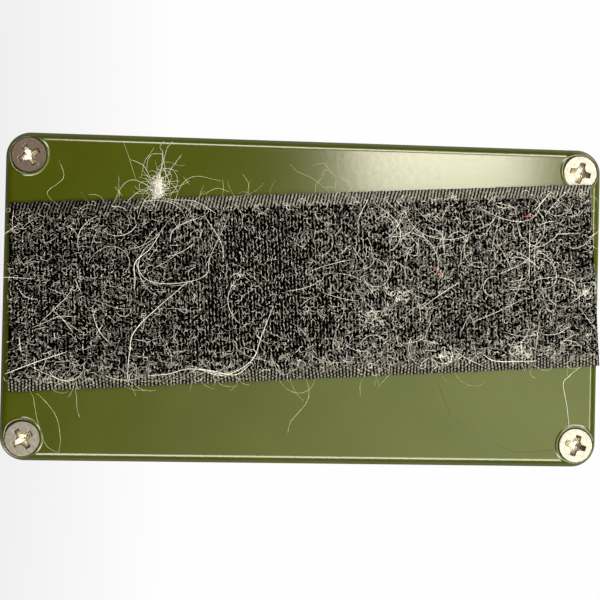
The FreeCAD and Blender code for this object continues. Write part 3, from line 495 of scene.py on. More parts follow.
def fibre(name, dark, light, roughness, clear=0.0):
    """Thin fibres, each between two colours by the number its mesh stores."""
    s = Surface(name, Transmission_Weight=clear)
    along = s.spread(s.noise(0.5, 2), 0.3, 0.7, -0.15, 0.15)
    s.colour(s.mixed(s.maths("ADD", s.attribute("tint"), along), dark, light))
    s.roughness(s.spread(s.noise(0.3, 2), 0.3, 0.7, roughness * 0.85, roughness * 1.15))
    return s.material


def glue_layer():
    """The grey edge of the tape's adhesive."""
    s = Surface("glue_layer")
    s.colour(s.mixed(s.spread(s.noise(0.6, 3), 0.35, 0.65), (0.02, 0.02, 0.018), (0.07, 0.066, 0.055)))
    s.roughness(s.spread(s.noise(0.4, 2), 0.3, 0.7, 0.45, 0.75))
    return s.bump(s.noise(0.3, 3), 0.03).material


def lamp_lens():
    """A clear red lens with a faint haze inside."""
    s = Surface("lamp_lens", Transmission_Weight=0.55, IOR=1.5)
    s.colour(s.mixed(s.spread(s.noise(2, 2), 0.3, 0.7), (0.62, 0.02, 0.012), (0.8, 0.05, 0.03)))
    return s.roughness(s.spread(s.noise(1.2, 2), 0.3, 0.7, 0.06, 0.16)).material


def circuit_board():
    """Green solder mask over faint copper tracks."""
    s = Surface("circuit_board")
    track = s.spread(s.cells(3.2, 0.9), 0.42, 0.5)
    s.colour(s.mixed(track, (0.010, 0.085, 0.032), (0.022, 0.15, 0.05)))
    s.roughness(s.spread(s.noise(2, 2), 0.3, 0.7, 0.28, 0.42))
    return s.bump(track, 0.03).material


def banded_resistor():
    """Beige lacquer, a little uneven."""
    s = Surface("resistor")
    s.colour(s.mixed(s.spread(s.noise(1.4, 3), 0.35, 0.65), (0.46, 0.36, 0.2), (0.6, 0.48, 0.29)))
    s.roughness(s.spread(s.noise(0.8, 2), 0.3, 0.7, 0.35, 0.5))
    return s.bump(s.noise(0.8, 2), 0.02).material


FINISHES = {
    "box_paint": powder_coat("powder_coat"),
    "screws": sandy_plating(),
    "tape_adhesive": glue_layer(),
    "knob": moulded("knob_black", (0.012, 0.012, 0.013), 0.34),
    "pointer": moulded("pointer_white", (0.78, 0.76, 0.70), 0.45, 0.2, 0.005),
    "shaft": plated_steel("shaft_metal", (0.80, 0.79, 0.77), 0.3),
    "set_screw": plated_steel("set_screw_black", (0.16, 0.16, 0.165), 0.4, 0.12),
    "pot_metal": plated_steel("pot_zinc", (0.66, 0.66, 0.64), 0.34),
    "pot_track": moulded("pot_phenolic", (0.10, 0.045, 0.02), 0.5),
    "plated_nuts": plated_steel("nut_chrome", (0.82, 0.82, 0.83), 0.17),
    "switch_washer": plated_steel("washer_nickel", (0.76, 0.74, 0.70), 0.3, 0.2),
    "tinned_lead": plated_steel("tinned_lead", (0.72, 0.72, 0.70), 0.35, 0.15),
    "lamp_lens": lamp_lens(),
    "switch_base": moulded("switch_blue", (0.008, 0.045, 0.26), 0.42),
    "socket_plastic": moulded("socket_black", (0.016, 0.016, 0.017), 0.42),
    "board": circuit_board(),
    "chip": moulded("chip_epoxy", (0.02, 0.02, 0.021), 0.6, 0.15),
    "resistor": banded_resistor(),
    "diode": moulded("diode_glass", (0.55, 0.16, 0.03), 0.15, 0.6, 0.004),
    "film_capacitor": moulded("film_red", (0.36, 0.018, 0.012), 0.3, 0.8),
    "ceramic_capacitor": moulded("ceramic_ochre", (0.55, 0.27, 0.05), 0.45, 0.5),
    "electrolytic_can": moulded("sleeve_navy", (0.012, 0.014, 0.06), 0.35, 0.9),
    "wire": moulded("wire_red", (0.34, 0.02, 0.015), 0.38, 0.6),
}

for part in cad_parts.values():
    for held in part.material_slots:
        if held.material.name in FINISHES:
            held.material = FINISHES[held.material.name]

# ---------- cover screws

HEAD_RADIUS = 3.5
HEAD_LAND = 0.2
SHANK_RADIUS = 1.7
SCREW_LENGTH = SCREW_END - SCREW_FACE
SCREW_SIDE = [  # radius, and height over the head's face, from its rounded rim to the tip
    (3.42, 0.012), (3.48, 0.05), (HEAD_RADIUS, 0.11), (HEAD_RADIUS, HEAD_LAND), (1.95, 1.75),
    (SHANK_RADIUS, 2.0), (SHANK_RADIUS, SCREW_LENGTH - 0.6), (1.2, SCREW_LENGTH),
]
RECESS_REACH = 2.25
RECESS_HALF_WIDTH = 0.56
RECESS_DEPTH = 1.75
RECESS_WALL = 0.13
RECESS_CORE = 1.05
COVER_CORNER = 5.0
COVER_ROUNDING = 2.0
SINK_RADIUS = 4.0
SCREW_X, SCREW_Y = 28.3, 56.3
SCREW_TURNS = {(1, -1): -28, (-1, -1): -35, (1, 1): 15, (-1, 1): 18}  # in degrees
SCREW_SHIFTS = {(1, -1): (-0.02, 0.1), (-1, -1): (-0.18, 0.1), (1, 1): (-0.24, 0.1), (-1, 1): (-0.1, 0.22)}
# how much each screw is tarnished and dimmed as painted shade
SCREW_TARNISH_AND_SHADE = {(1, -1): 0.86, (-1, -1): 0.36, (1, 1): 0.0, (-1, 1): 0.03}
LIP_OVERHANG = 0.4
LIP_FOOT = 0.32
LIP_GAP = 0.03
LIP_LEAST = 0.06
LIP_PROFILE = [  # share of the way in from the bead's foot, and proud of the cover's face
    (-0.2, -0.3), (-0.08, -0.04), (0.0, 0.0), (0.1, 0.03), (0.25, 0.078), (0.4, 0.12), (0.52, 0.14),
    (0.64, 0.135), (0.78, 0.1), (0.9, 0.04), (1.0, -0.06),
]
SINK_SEARCH = 0.6  # how far in from a countersink's full radius its rounded-off edge can be
DENTS = 14


def eased(x):
    """0 to 1, with a soft start and end."""
    x = np.clip(x, 0, 1)
    return x * x * (3 - 2 * x)


def recess_depth(a, b, worn):
    """How deep a cross recess is at each point (a, b) of the head's face."""
    lip = RECESS_WALL + 0.05 * worn

    def arm(p, q):  # shallower and a little narrower towards its end
        out = np.abs(p) / RECESS_REACH
        floor = np.clip(1 - out ** 1.6, 0.12, 1)
        half = RECESS_HALF_WIDTH * (1 - 0.12 * out)
        return floor * eased((half - np.abs(q)) / lip + 0.5) * eased((RECESS_REACH - np.abs(p)) / lip)

    core = np.clip(1.18 - np.hypot(a, b) / RECESS_CORE, 0, 1) * RECESS_CORE
    return RECESS_DEPTH * np.maximum(np.maximum(arm(a, b), arm(b, a)), core)


def cover_level(x, y):
    """The height of the cover's outer face, which is rounded down along its outline."""
    px = np.abs(x) - COVER_HALF_WIDTH + COVER_CORNER
    py = np.abs(y) - COVER_HALF_LENGTH + COVER_CORNER
    outside = np.hypot(np.maximum(px, 0), np.maximum(py, 0)) + np.minimum(np.maximum(px, py), 0)
    inward = np.clip(COVER_CORNER - outside, 0, COVER_ROUNDING)
    return COVER_FACE + COVER_ROUNDING - np.sqrt(COVER_ROUNDING**2 - (COVER_ROUNDING - inward) ** 2)


def countersink_lip(name, x, y, shift):
    """The bead of paint round a countersink, close to the off-centre head, and the wall inside it, near black
    with painted shade and dirt.
    """
    turn = np.arange(120) * 2 * math.pi / 120
    out = np.array([np.cos(turn), np.sin(turn)])
    tries = np.linspace(SINK_RADIUS - SINK_SEARCH, SINK_RADIUS, 121)[:, None]
    sunk = COVER_FACE + SINK_RADIUS - tries
    above = sunk > cover_level(x + tries * out[0], y + tries * out[1])
    edge = tries[np.argmin(above, axis=0), 0]
    head = HEAD_RADIUS + np.array(shift) @ out
    inner = np.minimum(np.maximum(edge - LIP_OVERHANG, head + LIP_GAP), edge - LIP_LEAST)
    foot = edge + LIP_FOOT
    share, proud = np.array(LIP_PROFILE).T[:, :, None]
    down_the_wall = [inner - 0.01, edge - SINK_SEARCH, edge - SINK_SEARCH - 0.1]
    radius = np.concatenate([foot + (inner - foot) * share, down_the_wall])
    px, py = x + radius * out[0], y + radius * out[1]
    sunk = COVER_FACE + SINK_RADIUS - radius
    bead = cover_level(px, py)[:len(share)] - proud
    # two rings just proud of the countersink's wall, and one sunk into it
    wall = sunk[len(share):] - np.array([0.02, 0.02, -0.4])[:, None]
    grid = np.stack([px, py, np.concatenate([bead, wall])], -1)
    index = np.arange(grid[..., 0].size).reshape(grid.shape[:2])
    following = np.roll(index, -1, 0)
    walls = np.stack([index, following, np.roll(following, -1, 1), np.roll(index, -1, 1)], -1)
    made = shown(name, grid, walls.ravel(), [4] * (walls.size // 4), LIP_PAINT)
    # The wall rings are near black: painted shade in the gap beside the head, with dirt.
    dirt_and_shade = np.where(np.arange(len(radius)) < len(share) - 1, 0.0, 1.0)[:, None]
    paint_points(made, "dirt_and_shade", np.broadcast_to(dirt_and_shade, radius.shape))


def cover_screw(name, x, y, turn, tarnish_and_shade, rng):
    """A countersunk screw with a cross recess, its head down."""
    spokes, rings, flat_rings = 160, 56, 4
    side_radius, side_lift = np.array(SCREW_SIDE).T
    radius = np.concatenate([np.linspace(0.06, HEAD_RADIUS - 0.16, rings), side_radius])
    lift = np.concatenate([np.zeros(rings), side_lift])
    angle = np.arange(spokes) * 2 * math.pi / spokes
    px = radius[:, None] * np.cos(angle)
    py = radius[:, None] * np.sin(angle)
    a = px * math.cos(turn) + py * math.sin(turn)
    b = py * math.cos(turn) - px * math.sin(turn)
    dents = np.zeros_like(px)
    for _ in range(DENTS):
        r, t, size = rng.uniform(0.8, 3.0), rng.uniform(0, 2 * math.pi), rng.uniform(0.12, 0.4)
        away = (px - r * math.cos(t)) ** 2 + (py - r * math.sin(t)) ** 2
        dents += rng.uniform(0.01, 0.035) * np.exp(-away / size**2)
    deep = recess_depth(a, b, rng.random()) + dents
    deep[rings - flat_rings:] = 0
    pz = SCREW_FACE + lift[:, None] + deep
    grid = np.stack([x + px, y + py, pz], -1)
    index = np.arange(grid[..., 0].size).reshape(len(radius), spokes)
    here, there = index[:-1], index[1:]
    walls = np.stack([here, np.roll(here, -1, 1), np.roll(there, -1, 1), there], -1)
    corners = np.concatenate([walls.ravel(), index[0, ::-1], index[-1]])
    counts = [4] * (walls.size // 4) + [spokes, spokes]
    made = shown(name, grid, corners, counts, FINISHES["screws"])
    paint_points(made, "deep", np.clip(deep / RECESS_DEPTH * 1.6, 0, 1))
    paint_points(made, "tarnish_and_shade", np.full_like(deep, tarnish_and_shade))
    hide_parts("cover_screws")


# The countersinks' walls are near black by their points' stored numbers: painted shade with dirt.
LIP_PAINT = powder_coat("countersink_paint", dirt_and_shade_by_points=True)
for (side_x, side_y), degrees in SCREW_TURNS.items():
    corner = ("near" if side_y < 0 else "far") + ("_left" if side_x < 0 else "_right")
    screw_rng = np.random.default_rng(40 + 2 * side_x + side_y)
    shift_x, shift_y = SCREW_SHIFTS[side_x, side_y]
    place_x, place_y = side_x * SCREW_X, side_y * SCREW_Y
    cover_screw(f"cover_screw_{corner}", place_x + shift_x, place_y + shift_y, math.radians(degrees),
                SCREW_TARNISH_AND_SHADE[side_x, side_y], screw_rng)
    countersink_lip(f"countersink_{corner}", place_x, place_y, (shift_x, shift_y))

# ---------- woven backing

RIB_PITCH = 0.69
RIB_STEPS = 6
BEAD_PITCH = 0.62
RIB_RELIEF = 0.26
RIB_SLANT = math.tan(math.radians(19))
SLANT_REACH = 3  # inside the selvedge with larger x
WEAVE_GROUND = 0.32
EDGE_ROLL = 0.4
EDGE_COLUMNS, MIDDLE_COLUMNS = 17, 56


def smooth_noise(rng, shape, knots):
    """Soft random values from about -1 to 1 over a grid, with this many knots each way."""
    rows, columns = (np.linspace(0, k - 1, n) for n, k in zip(shape, knots, strict=True))
    values = rng.uniform(-1, 1, knots)
    r, c = np.minimum(rows.astype(int), knots[0] - 2), np.minimum(columns.astype(int), knots[1] - 2)
    fr, fc = eased(rows - r)[:, None], eased(columns - c)[None, :]
    top = values[np.ix_(r, c)] * (1 - fc) + values[np.ix_(r, c + 1)] * fc
    low = values[np.ix_(r + 1, c)] * (1 - fc) + values[np.ix_(r + 1, c + 1)] * fc
    return top * (1 - fr) + low * fr


def nearness(u):
    """0 at the tape's middle and beyond, rising to 1 towards its near end."""
    return eased((-u - 12) / 16)


def woven_backing():
    """The ribbed black strip, with a plain selvedge along each side."""
    rng = np.random.default_rng(7)
    half = TAPE_WIDTH / 2
    edge = np.linspace(0, SELVEDGE + 0.3, EDGE_COLUMNS)
    inner = half - SELVEDGE - 0.8
    v = np.concatenate([-half + edge, np.linspace(-inner, inner, MIDDLE_COLUMNS), half - edge[::-1]])
    steps = int(TAPE_LENGTH / RIB_PITCH * RIB_STEPS)
    share = np.linspace(0, 1, steps)[:, None]
    u = tape_end(v, False) * (1 - share) + tape_end(v, True) * share
    v_grid = np.broadcast_to(v, u.shape)
    slant = RIB_SLANT * np.clip(v_grid - half + SELVEDGE + SLANT_REACH, 0, None)
    drift = 0.18 * smooth_noise(rng, u.shape, (40, 8))
    phase = (u - slant + drift) / RIB_PITCH
    rib = 0.5 + 0.5 * np.cos(2 * math.pi * phase)
    row = np.floor(phase + 0.5)
    bead = 0.5 + 0.5 * np.cos(2 * math.pi * v_grid / BEAD_PITCH + math.pi * row)
    knuckles = np.where(v_grid > 0, 0.3, 0.62)
    crest = rib ** 0.7 * (1 - knuckles * (1 - bead)) * (1 + 0.35 * smooth_noise(rng, u.shape, (520, 60)))
    roll = eased((half - np.abs(v_grid)) / EDGE_ROLL)
    wave = 0.05 * smooth_noise(rng, u.shape, (60, 12))
    z = WEAVE_LEVEL + WEAVE_GROUND - RIB_RELIEF * crest * (0.35 + 0.65 * roll) + wave + 0.12 * (1 - roll)
    waver = 0.10 * smooth_noise(rng, u.shape, (170, 2)) * (1 - eased((half - np.abs(v_grid)) / 1.2))
    place = on_tape(u, v_grid + waver)
    top = np.concatenate([place, z[..., None]], -1)
    made = closed_slab("woven_backing", top, GLUE_LEVEL, woven_tape())
    low_rim = np.zeros((steps, 2))
    # dust shows on the selvedges' crests, the weave under the hooks stays near black as painted shade, and
    # the selvedge with larger x is dimmed towards its near end as painted shade
    bare = eased((np.abs(v_grid) - half + SELVEDGE + 0.2) / 0.4)
    bare = bare * np.where(v_grid > 0, 0.74 + 0.24 * np.tanh((u + 28) / 14), 1.0)
    paint_points(made, "crest", np.concatenate([(crest * (0.1 + 0.9 * bare)).ravel(), low_rim.ravel()]))
    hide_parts("tape_backing")


woven_backing()

# ---------- hooks

HOOK_PITCH_ACROSS = 0.44
HOOK_WIRE = 0.047
HOOK_STEPS = 8
HOOK_PIECES = 8
STALK_SHARE = 0.3
ROOT_DEPTH = 0.12
END_MARGIN = 0.3
MISSING, CRUSHED = 0.04, 0.2
TIDY_MIDDLE, TIDY_REACH = -2, 22
STRAY_IN_TIDY, STRAY_NEAR, STRAY_FAR = 0.16, 0.75, 0.36


def hook_rows():
    """Bent monofilament hooks in columns across the strip, every other column taller, and some crushed."""
    rng = np.random.default_rng(11)
    half = TAPE_WIDTH / 2 - SELVEDGE
    columns = np.arange(-TAPE_LENGTH / 2 - 0.8, TAPE_LENGTH / 2 + END_MARGIN, RIB_PITCH)
    places = np.arange(-half + 0.1, half, HOOK_PITCH_ACROSS)
    u, v = np.meshgrid(columns, places, indexing="ij")
    tall = np.broadcast_to((np.arange(len(columns)) % 2 == 0)[:, None], u.shape).ravel()
    v = v + rng.uniform(0, HOOK_PITCH_ACROSS, len(columns))[:, None]
    u = u.ravel() + rng.normal(0, 0.06, u.size)
    v = v.ravel() + rng.normal(0, 0.1, v.size)
    inside = (u > tape_end(v, False) + END_MARGIN) & (u < tape_end(v, True) - END_MARGIN)
    keep = inside & (rng.random(u.size) > MISSING)
    u, v, tall = u[keep], v[keep], tall[keep]
    count = len(u)
    tidy = np.abs(u - TIDY_MIDDLE) < TIDY_REACH
    stray = rng.random(count) < np.where(tidy, STRAY_IN_TIDY, np.where(u < 0, STRAY_NEAR, STRAY_FAR))
    heading = rng.choice([0.5, 1.5], count) * math.pi + rng.normal(0, 1, count) * np.where(stray, 1.4, 0.4)
    toward = np.cos(heading)[:, None] * ALONG + np.sin(heading)[:, None] * ACROSS
    radius = rng.uniform(0.12, 0.24, count)
    stalk = np.where(tall, rng.uniform(0.7, 0.95, count), rng.uniform(0.42, 0.75, count))
    lean = rng.normal(0.1, 0.16, count)
    crush = np.where(rng.random(count) < CRUSHED, rng.uniform(0.55, 0.8, count), 1.0)
    sweep = rng.uniform(math.radians(170), math.radians(245), count)
    t = np.linspace(0, 1, HOOK_STEPS)
    rise = np.clip(t / STALK_SHARE, 0, 1)[None, :] * stalk[:, None]
    bend = np.clip((t - STALK_SHARE) / (1 - STALK_SHARE), 0, 1)[None, :] * sweep[:, None]
    lift = radius[:, None] * np.sin(bend)
    out = radius[:, None] * (1 - np.cos(bend)) + lean[:, None] * (rise + lift)
    high = (rise + lift - ROOT_DEPTH) * crush[:, None]
    high = np.minimum(high, WEAVE_LEVEL - HOOK_LEVEL - HOOK_WIRE - 0.03)
    flat = on_tape(u, v)[:, None, :] + out[..., None] * toward[:, None, :]
    paths = np.concatenate([flat, (WEAVE_LEVEL - high)[..., None]], -1)
    flat_axis = np.concatenate([np.stack([-toward[:, 1], toward[:, 0]], -1), np.zeros((count, 1))], -1)
    radii = np.tile(HOOK_WIRE * np.where(t > 0.95, 0.8, 1.0), (count, 1))
    # Painted shade: the shorter hooks, low among the tall ones, and those towards the near end are dimmed.
    painted_shade = np.where(tall, 0, 0.16) + 0.16 * nearness(u)
    tint = np.clip(rng.normal(0.5, 0.35, count) - painted_shade, 0, 1)
    nylon = fibre("hook_nylon", (0.003, 0.0027, 0.0025), (0.76, 0.72, 0.67), 0.36)
    for piece in range(HOOK_PIECES):
        part = (np.arange(count) * HOOK_PIECES) // count == piece
        name = f"hook_rows_{piece + 1}"
        made = tubes(name, paths[part], radii[part], flat_axis[part], 4, nylon, tint[part])
        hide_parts("tape_hooks")


hook_rows()

# ---------- lint and hairs


def lint_density(u, v):
    """How much lint the hooks hold: least in the middle third, more at the edges, most at the far end."""
    clear = np.exp(-((u + 8) / 13) ** 2)
    edge = eased((np.abs(v) - 9) / 7)
    return (0.35 + 0.65 * (1 - clear) + 0.25 * edge) * (1 - 0.3 * eased((-u - 14) / 14))


def wander(rng, start, heading, length, steps, curve, wiggle):
    """Curling flat paths. curve is each one's mean bend in 1/mm, and wiggle how much it varies."""
    count = len(heading)
    stride = (length / (steps - 1))[:, None]
    drift = np.cumsum(rng.normal(0, 1, (count, steps)), 1) / math.sqrt(steps)
    bend = curve[:, None] + wiggle[:, None] * drift
    angle = heading[:, None] + np.cumsum(bend * stride, 1)
    walk = np.stack([np.cos(angle), np.sin(angle)], -1) * stride[..., None]
    walk[:, 0] = 0
    return start[:, None, :] + np.cumsum(walk, 1)


PAINT_CLEARANCE = 0.1
FLOOR_CLEARANCE = 0.08
SWAY = 0.16
UPRIGHT = np.array([[0.0, 0.0, 1.0]])


def draped_height(flat, on_tape_height):
    """The z of a fibre: among the hooks on the tape, and down on the cover beside it."""
    past = np.abs(across_of(flat)) - TAPE_WIDTH / 2
    share = eased((past + 0.5) / 2.2)
    return on_tape_height * (1 - share) + (COVER_FACE - PAINT_CLEARANCE) * share


def lay_fibres(name, rng, flat, thickness, on_tape_height, material, sides=4, tint=None):
    """Fibres along flat paths, thinning to their ends and rising and falling a little."""
    count, steps = flat.shape[:2]
    t = np.linspace(0, 1, steps)
    turns = t[None, :] * rng.uniform(0.5, 1.6, (count, 1)) + rng.random((count, 1))
    height = on_tape_height[:, None] + SWAY * np.sin(2 * math.pi * turns)
    z = draped_height(flat, np.clip(height, HOOK_LEVEL + FLOOR_CLEARANCE, WEAVE_LEVEL))
    paths = np.concatenate([flat, z[..., None]], -1)
    radii = thickness[:, None] * (1 - 0.45 * np.abs(2 * t - 1) ** 3)[None, :]
    tint = rng.random(count) if tint is None else tint
    tubes(name, paths, radii, UPRIGHT, sides, material, tint)


MAT_CURLS = 5200
MAT_PIECES = 4
DRIFT_CURLS = MAT_CURLS // 14
LINT = fibre("lint_grey", (0.13, 0.115, 0.10), (0.95, 0.92, 0.88), 0.6)
PALE_HAIR = fibre("hair_pale", (0.86, 0.83, 0.78), (0.98, 0.96, 0.93), 0.45)
# Pale hairs over the paint are tinted green: painted bounce light from the paint.
HAIR_WITH_PAINTED_GREEN_BOUNCE = fibre("hair_painted_green_bounce", (0.50, 0.52, 0.26), (0.90, 0.90, 0.64), 0.5)
RED_FIBRE = fibre("fibre_red", (0.42, 0.06, 0.06), (0.92, 0.34, 0.32), 0.6)
BROWN_HAIR = fibre("hair_brown", (0.05, 0.045, 0.02), (0.14, 0.13, 0.05), 0.4)


def lint_mat():
    """Short curled fibres caught all over the hooks, and a drift of them along the edge of smaller x."""
    rng = np.random.default_rng(23)
    half = TAPE_WIDTH / 2 - 1.2
    tries = MAT_CURLS * 2
    u = rng.uniform(-TAPE_LENGTH / 2 - 0.6, TAPE_LENGTH / 2 + 0.3, tries)
    v = rng.uniform(-half, half, tries)
    keep = rng.random(tries) * 1.25 < lint_density(u, v)
    keep &= (u > tape_end(v, False) + 0.3) & (u < tape_end(v, True) - 0.4)
    drift_u = rng.uniform(-TAPE_LENGTH / 2 + 2, TAPE_LENGTH / 2 - 4, DRIFT_CURLS)
    drift_v = rng.normal(-15.6, 1.0, DRIFT_CURLS)
    u = np.concatenate([drift_u, u[keep]])[:MAT_CURLS]
    v = np.concatenate([drift_v, v[keep]])[:MAT_CURLS]
    order = np.argsort(u, kind="stable")
    u, v = u[order], v[order]
    count = len(u)
    length = rng.gamma(2.4, 0.42, count) + 0.4
    curve = rng.choice([-1, 1], count) * rng.uniform(0.3, 1.8, count)
    heading = rng.uniform(0, 2 * math.pi, count)
    flat = wander(rng, on_tape(u, v), heading, length, 8, curve, rng.uniform(0.3, 1.4, count))
    height = rng.uniform(0.12, 0.95, count)
    thickness = rng.uniform(0.016, 0.038, count)
    # Dimmed towards the near end: painted shade.
    tint = rng.random(count) ** 1.5 * (1 - 0.2 * nearness(u))
    for piece in range(MAT_PIECES):
        part = (np.arange(count) * MAT_PIECES) // count == piece
        name = f"lint_mat_{piece + 1}"
        lay_fibres(name, rng, flat[part], thickness[part], height[part], LINT, tint=tint[part])


lint_mat()


def hairs_on_tape():
    """Longer pale hairs lying over the hooks."""
    rng = np.random.default_rng(31)
    tries, wanted = 900, 200
    u = rng.uniform(-TAPE_LENGTH / 2 + 0.6, TAPE_LENGTH / 2 - 2, tries)
    v = rng.uniform(-TAPE_WIDTH / 2 + 1.5, TAPE_WIDTH / 2 - 1.5, tries)
    keep = rng.random(tries) * 1.25 < lint_density(u, v) ** 1.4
    u, v = u[keep][:wanted], v[keep][:wanted]
    count = len(u)
    length = rng.gamma(2.2, 1.9, count) + 1.6
    curve = rng.normal(0, 0.16, count)
    heading = rng.uniform(0, 2 * math.pi, count)
    flat = wander(rng, on_tape(u, v), heading, length, 22, curve, rng.uniform(0.02, 0.3, count))
    inside = np.abs(flat[..., 1]).max(1) < COVER_HALF_LENGTH - 0.4
    inside &= along_of(flat).max(1) < TAPE_LENGTH / 2
    inside &= np.abs(across_of(flat)).max(1) < TAPE_WIDTH / 2 - 0.4
    flat, count = flat[inside], int(inside.sum())
    thickness = rng.uniform(0.018, 0.038, count)
    lay_fibres("hairs_on_tape", rng, flat, thickness, rng.uniform(0.1, 0.4, count), PALE_HAIR)


hairs_on_tape()


OUTLINE_CLEARANCE = 1.2
SCREW_CLEARANCE = 0.6


def hairs_over_edges():
    """Fine hairs that cross the tape's two long edges onto the paint."""
    rng = np.random.default_rng(37)
    count = 120
    side = np.where(rng.random(count) < 0.5, 1.0, -1.0)
    u = rng.uniform(-TAPE_LENGTH / 2 + 3, TAPE_LENGTH / 2 - 3, count)
    v = side * (TAPE_WIDTH / 2 - rng.uniform(0.2, 2.2, count))
    outward = math.atan2(ACROSS[1], ACROSS[0]) + np.where(side > 0, 0, math.pi)
    heading = outward + rng.normal(0, 0.75, count)
    length = rng.gamma(2.4, 1.15, count) + 1.8
    curve = rng.normal(0, 0.18, count)
    flat = wander(rng, on_tape(u, v), heading, length, 20, curve, rng.uniform(0.05, 0.5, count))
    edge = np.abs(flat[..., 0]).max(1) < COVER_HALF_WIDTH - OUTLINE_CLEARANCE
    ends = np.abs(flat[..., 1]).max(1) < COVER_HALF_LENGTH - OUTLINE_CLEARANCE
    clear_of_screws = np.ones(count, bool)
    for sx, sy in SCREW_TURNS:
        away = np.hypot(flat[..., 0] - sx * SCREW_X, flat[..., 1] - sy * SCREW_Y).min(1)
        clear_of_screws &= away > HEAD_RADIUS + SCREW_CLEARANCE
    # fewer towards the far end, above all on the side of larger x
    crowded = np.where(side > 0, 0.6 - 0.55 * eased((u + 14) / 12), 0.6 - 0.2 * eased((u - 10) / 12))
    keep = edge & ends & clear_of_screws & (rng.random(count) < crowded)
    flat, count = flat[keep], int(keep.sum())
    thickness = rng.uniform(0.011, 0.02, count)
    lay_fibres("hairs_over_edges", rng, flat, thickness, rng.uniform(0.2, 0.7, count), HAIR_WITH_PAINTED_GREEN_BOUNCE)


hairs_over_edges()

TUFT = np.array([22.0, -30.5])
TUFT_HALF = (1.6, 0.9)
TUFT_HEIGHT = 1.45
TANGLE_STEPS = 10
CLUMPS = [  # small tangles in the hooks: where, and whether of red fibres
    ((-2.8, 13.3), False), ((1.5, 18.8), False), ((-10.0, 28.2), False), ((-9.1, 44.1), False),
    ((3.3, 56.9), False), ((6.7, 26.4), True), ((18.8, 44.9), True),
]


def tangle(rng, centre, count, spread, shortest, longest):
    """Flat paths of many tightly curled short fibres round a place."""
    start = np.array(centre) + np.clip(rng.normal(0, 1, (count, 2)), -1.9, 1.9) * spread
    length = rng.uniform(shortest, longest, count)
    curve = rng.choice([-1, 1], count) * rng.uniform(0.8, 2.8, count)
    heading = rng.uniform(0, 2 * math.pi, count)
    return wander(rng, start, heading, length, TANGLE_STEPS, curve, rng.uniform(0.5, 2.0, count))


def tuft():
    """A dense pale tuft caught on the tape's edge."""
    rng = np.random.default_rng(41)
    count = 240
    flat = tangle(rng, TUFT + (0.1, 0), count, (1.15, 0.42), 0.5, 1.4)
    t = np.linspace(0, 1, TANGLE_STEPS)
    middle = np.hypot(*((flat.mean(1) - TUFT) / TUFT_HALF).T)
    dome = TUFT_HEIGHT * np.exp(-(middle**2))
    z = (COVER_FACE - PAINT_CLEARANCE - dome * rng.random(count))[:, None] - 0.15 * np.sin(math.pi * t)
    paths = np.concatenate([flat, np.clip(z, 0.1, None)[..., None]], -1)
    radii = rng.uniform(0.04, 0.08, count)[:, None] * (1 - 0.4 * np.abs(2 * t - 1) ** 3)
    tubes("lint_tuft", paths, radii, UPRIGHT, 4, LINT, rng.uniform(0.25, 1.0, count))


tuft()


def tuft_fibres():
    """The shorter loose fibres that stand out of the tuft."""
    rng = np.random.default_rng(42)
    count = 46
    heading = rng.vonmises(0.3, 0.5, count)
    length = rng.gamma(2.8, 1.05, count) + 1.2
    start = TUFT + rng.normal(0, 0.4, (count, 2)) + (0.6, 0)
    curve = rng.normal(0, 0.35, count)
    flat = wander(rng, start, heading, length, 24, curve, rng.uniform(0.1, 0.9, count))
    thickness = rng.uniform(0.009, 0.018, count)
    height = rng.uniform(0.2, 0.8, count)
    lay_fibres("tuft_fibres", rng, flat, thickness, height, PALE_HAIR, tint=rng.uniform(0.1, 0.9, count))


tuft_fibres()

# how many fibres, how spread out, and of what
RED_CLUMP = (7, (0.22, 0.3), RED_FIBRE)
PALE_CLUMP = (34, (0.9, 1.3), PALE_HAIR)


def clumps():
    """Small tangles of lint here and there in the hooks, a few of them red."""
    rng = np.random.default_rng(59)
    for number, (centre, is_red) in enumerate(CLUMPS, 1):
        count, spread, material = RED_CLUMP if is_red else PALE_CLUMP
        flat = tangle(rng, centre, count, spread, 0.4, 1.7)
        thickness = rng.uniform(0.022, 0.045, count)
        lay_fibres(f"lint_clump_{number}", rng, flat, thickness, rng.uniform(0.1, 0.3, count), material)


clumps()

# Single hairs, each by a few listed points along it, in frame x and y.
HAIRS_FROM_TUFT = [
    [(23.2, -30.3), (25.9, -29.9), (29.3, -29.6), (30.6, -30.2), (31.8, -29.4)],
    [(21.9, -29.3), (24.6, -28.9), (28.8, -29.6), (29.2, -30.5), (29.0, -31.8), (27.8, -32.6), (25.8, -32.7)],
    [(24.3, -32.0), (26.5, -33.2), (27.3, -34.4), (27.9, -36.1)],
    [(21.8, -32.3), (21.4, -34.3), (20.0, -35.5), (19.0, -36.2)],
    [(22.5, -32.0), (23.3, -33.6), (23.8, -35.3), (23.2, -36.9), (21.3, -38.2), (19.6, -38.5)],
    [(24.9, -28.7), (27.0, -27.4), (29.2, -25.8)],
    [(25.9, -30.7), (26.3, -28.7), (25.8, -26.4)],
    [(21.6, -29.1), (22.9, -28.1), (24.9, -28.7), (26.6, -29.7)],
    [(23.3, -27.7), (21.8, -26.5), (21.5, -27.3), (20.6, -28.1)],
    [(31.8, -27.7), (30.3, -28.8), (27.9, -29.4), (24.5, -30.4)],
    [(20.2, -29.3), (19.8, -26.9), (19.7, -23.3), (18.5, -20.5), (17.5, -20.2), (16.1, -21.8)],
    [(19.9, -29.1), (19.1, -26.2), (17.9, -24.2), (16.4, -23.5)],
    [(20.8, -31.9), (19.1, -33.0), (16.7, -33.8), (15.7, -34.1)],
    [(20.5, -30.5), (19.2, -30.9), (18.2, -31.0)],
]
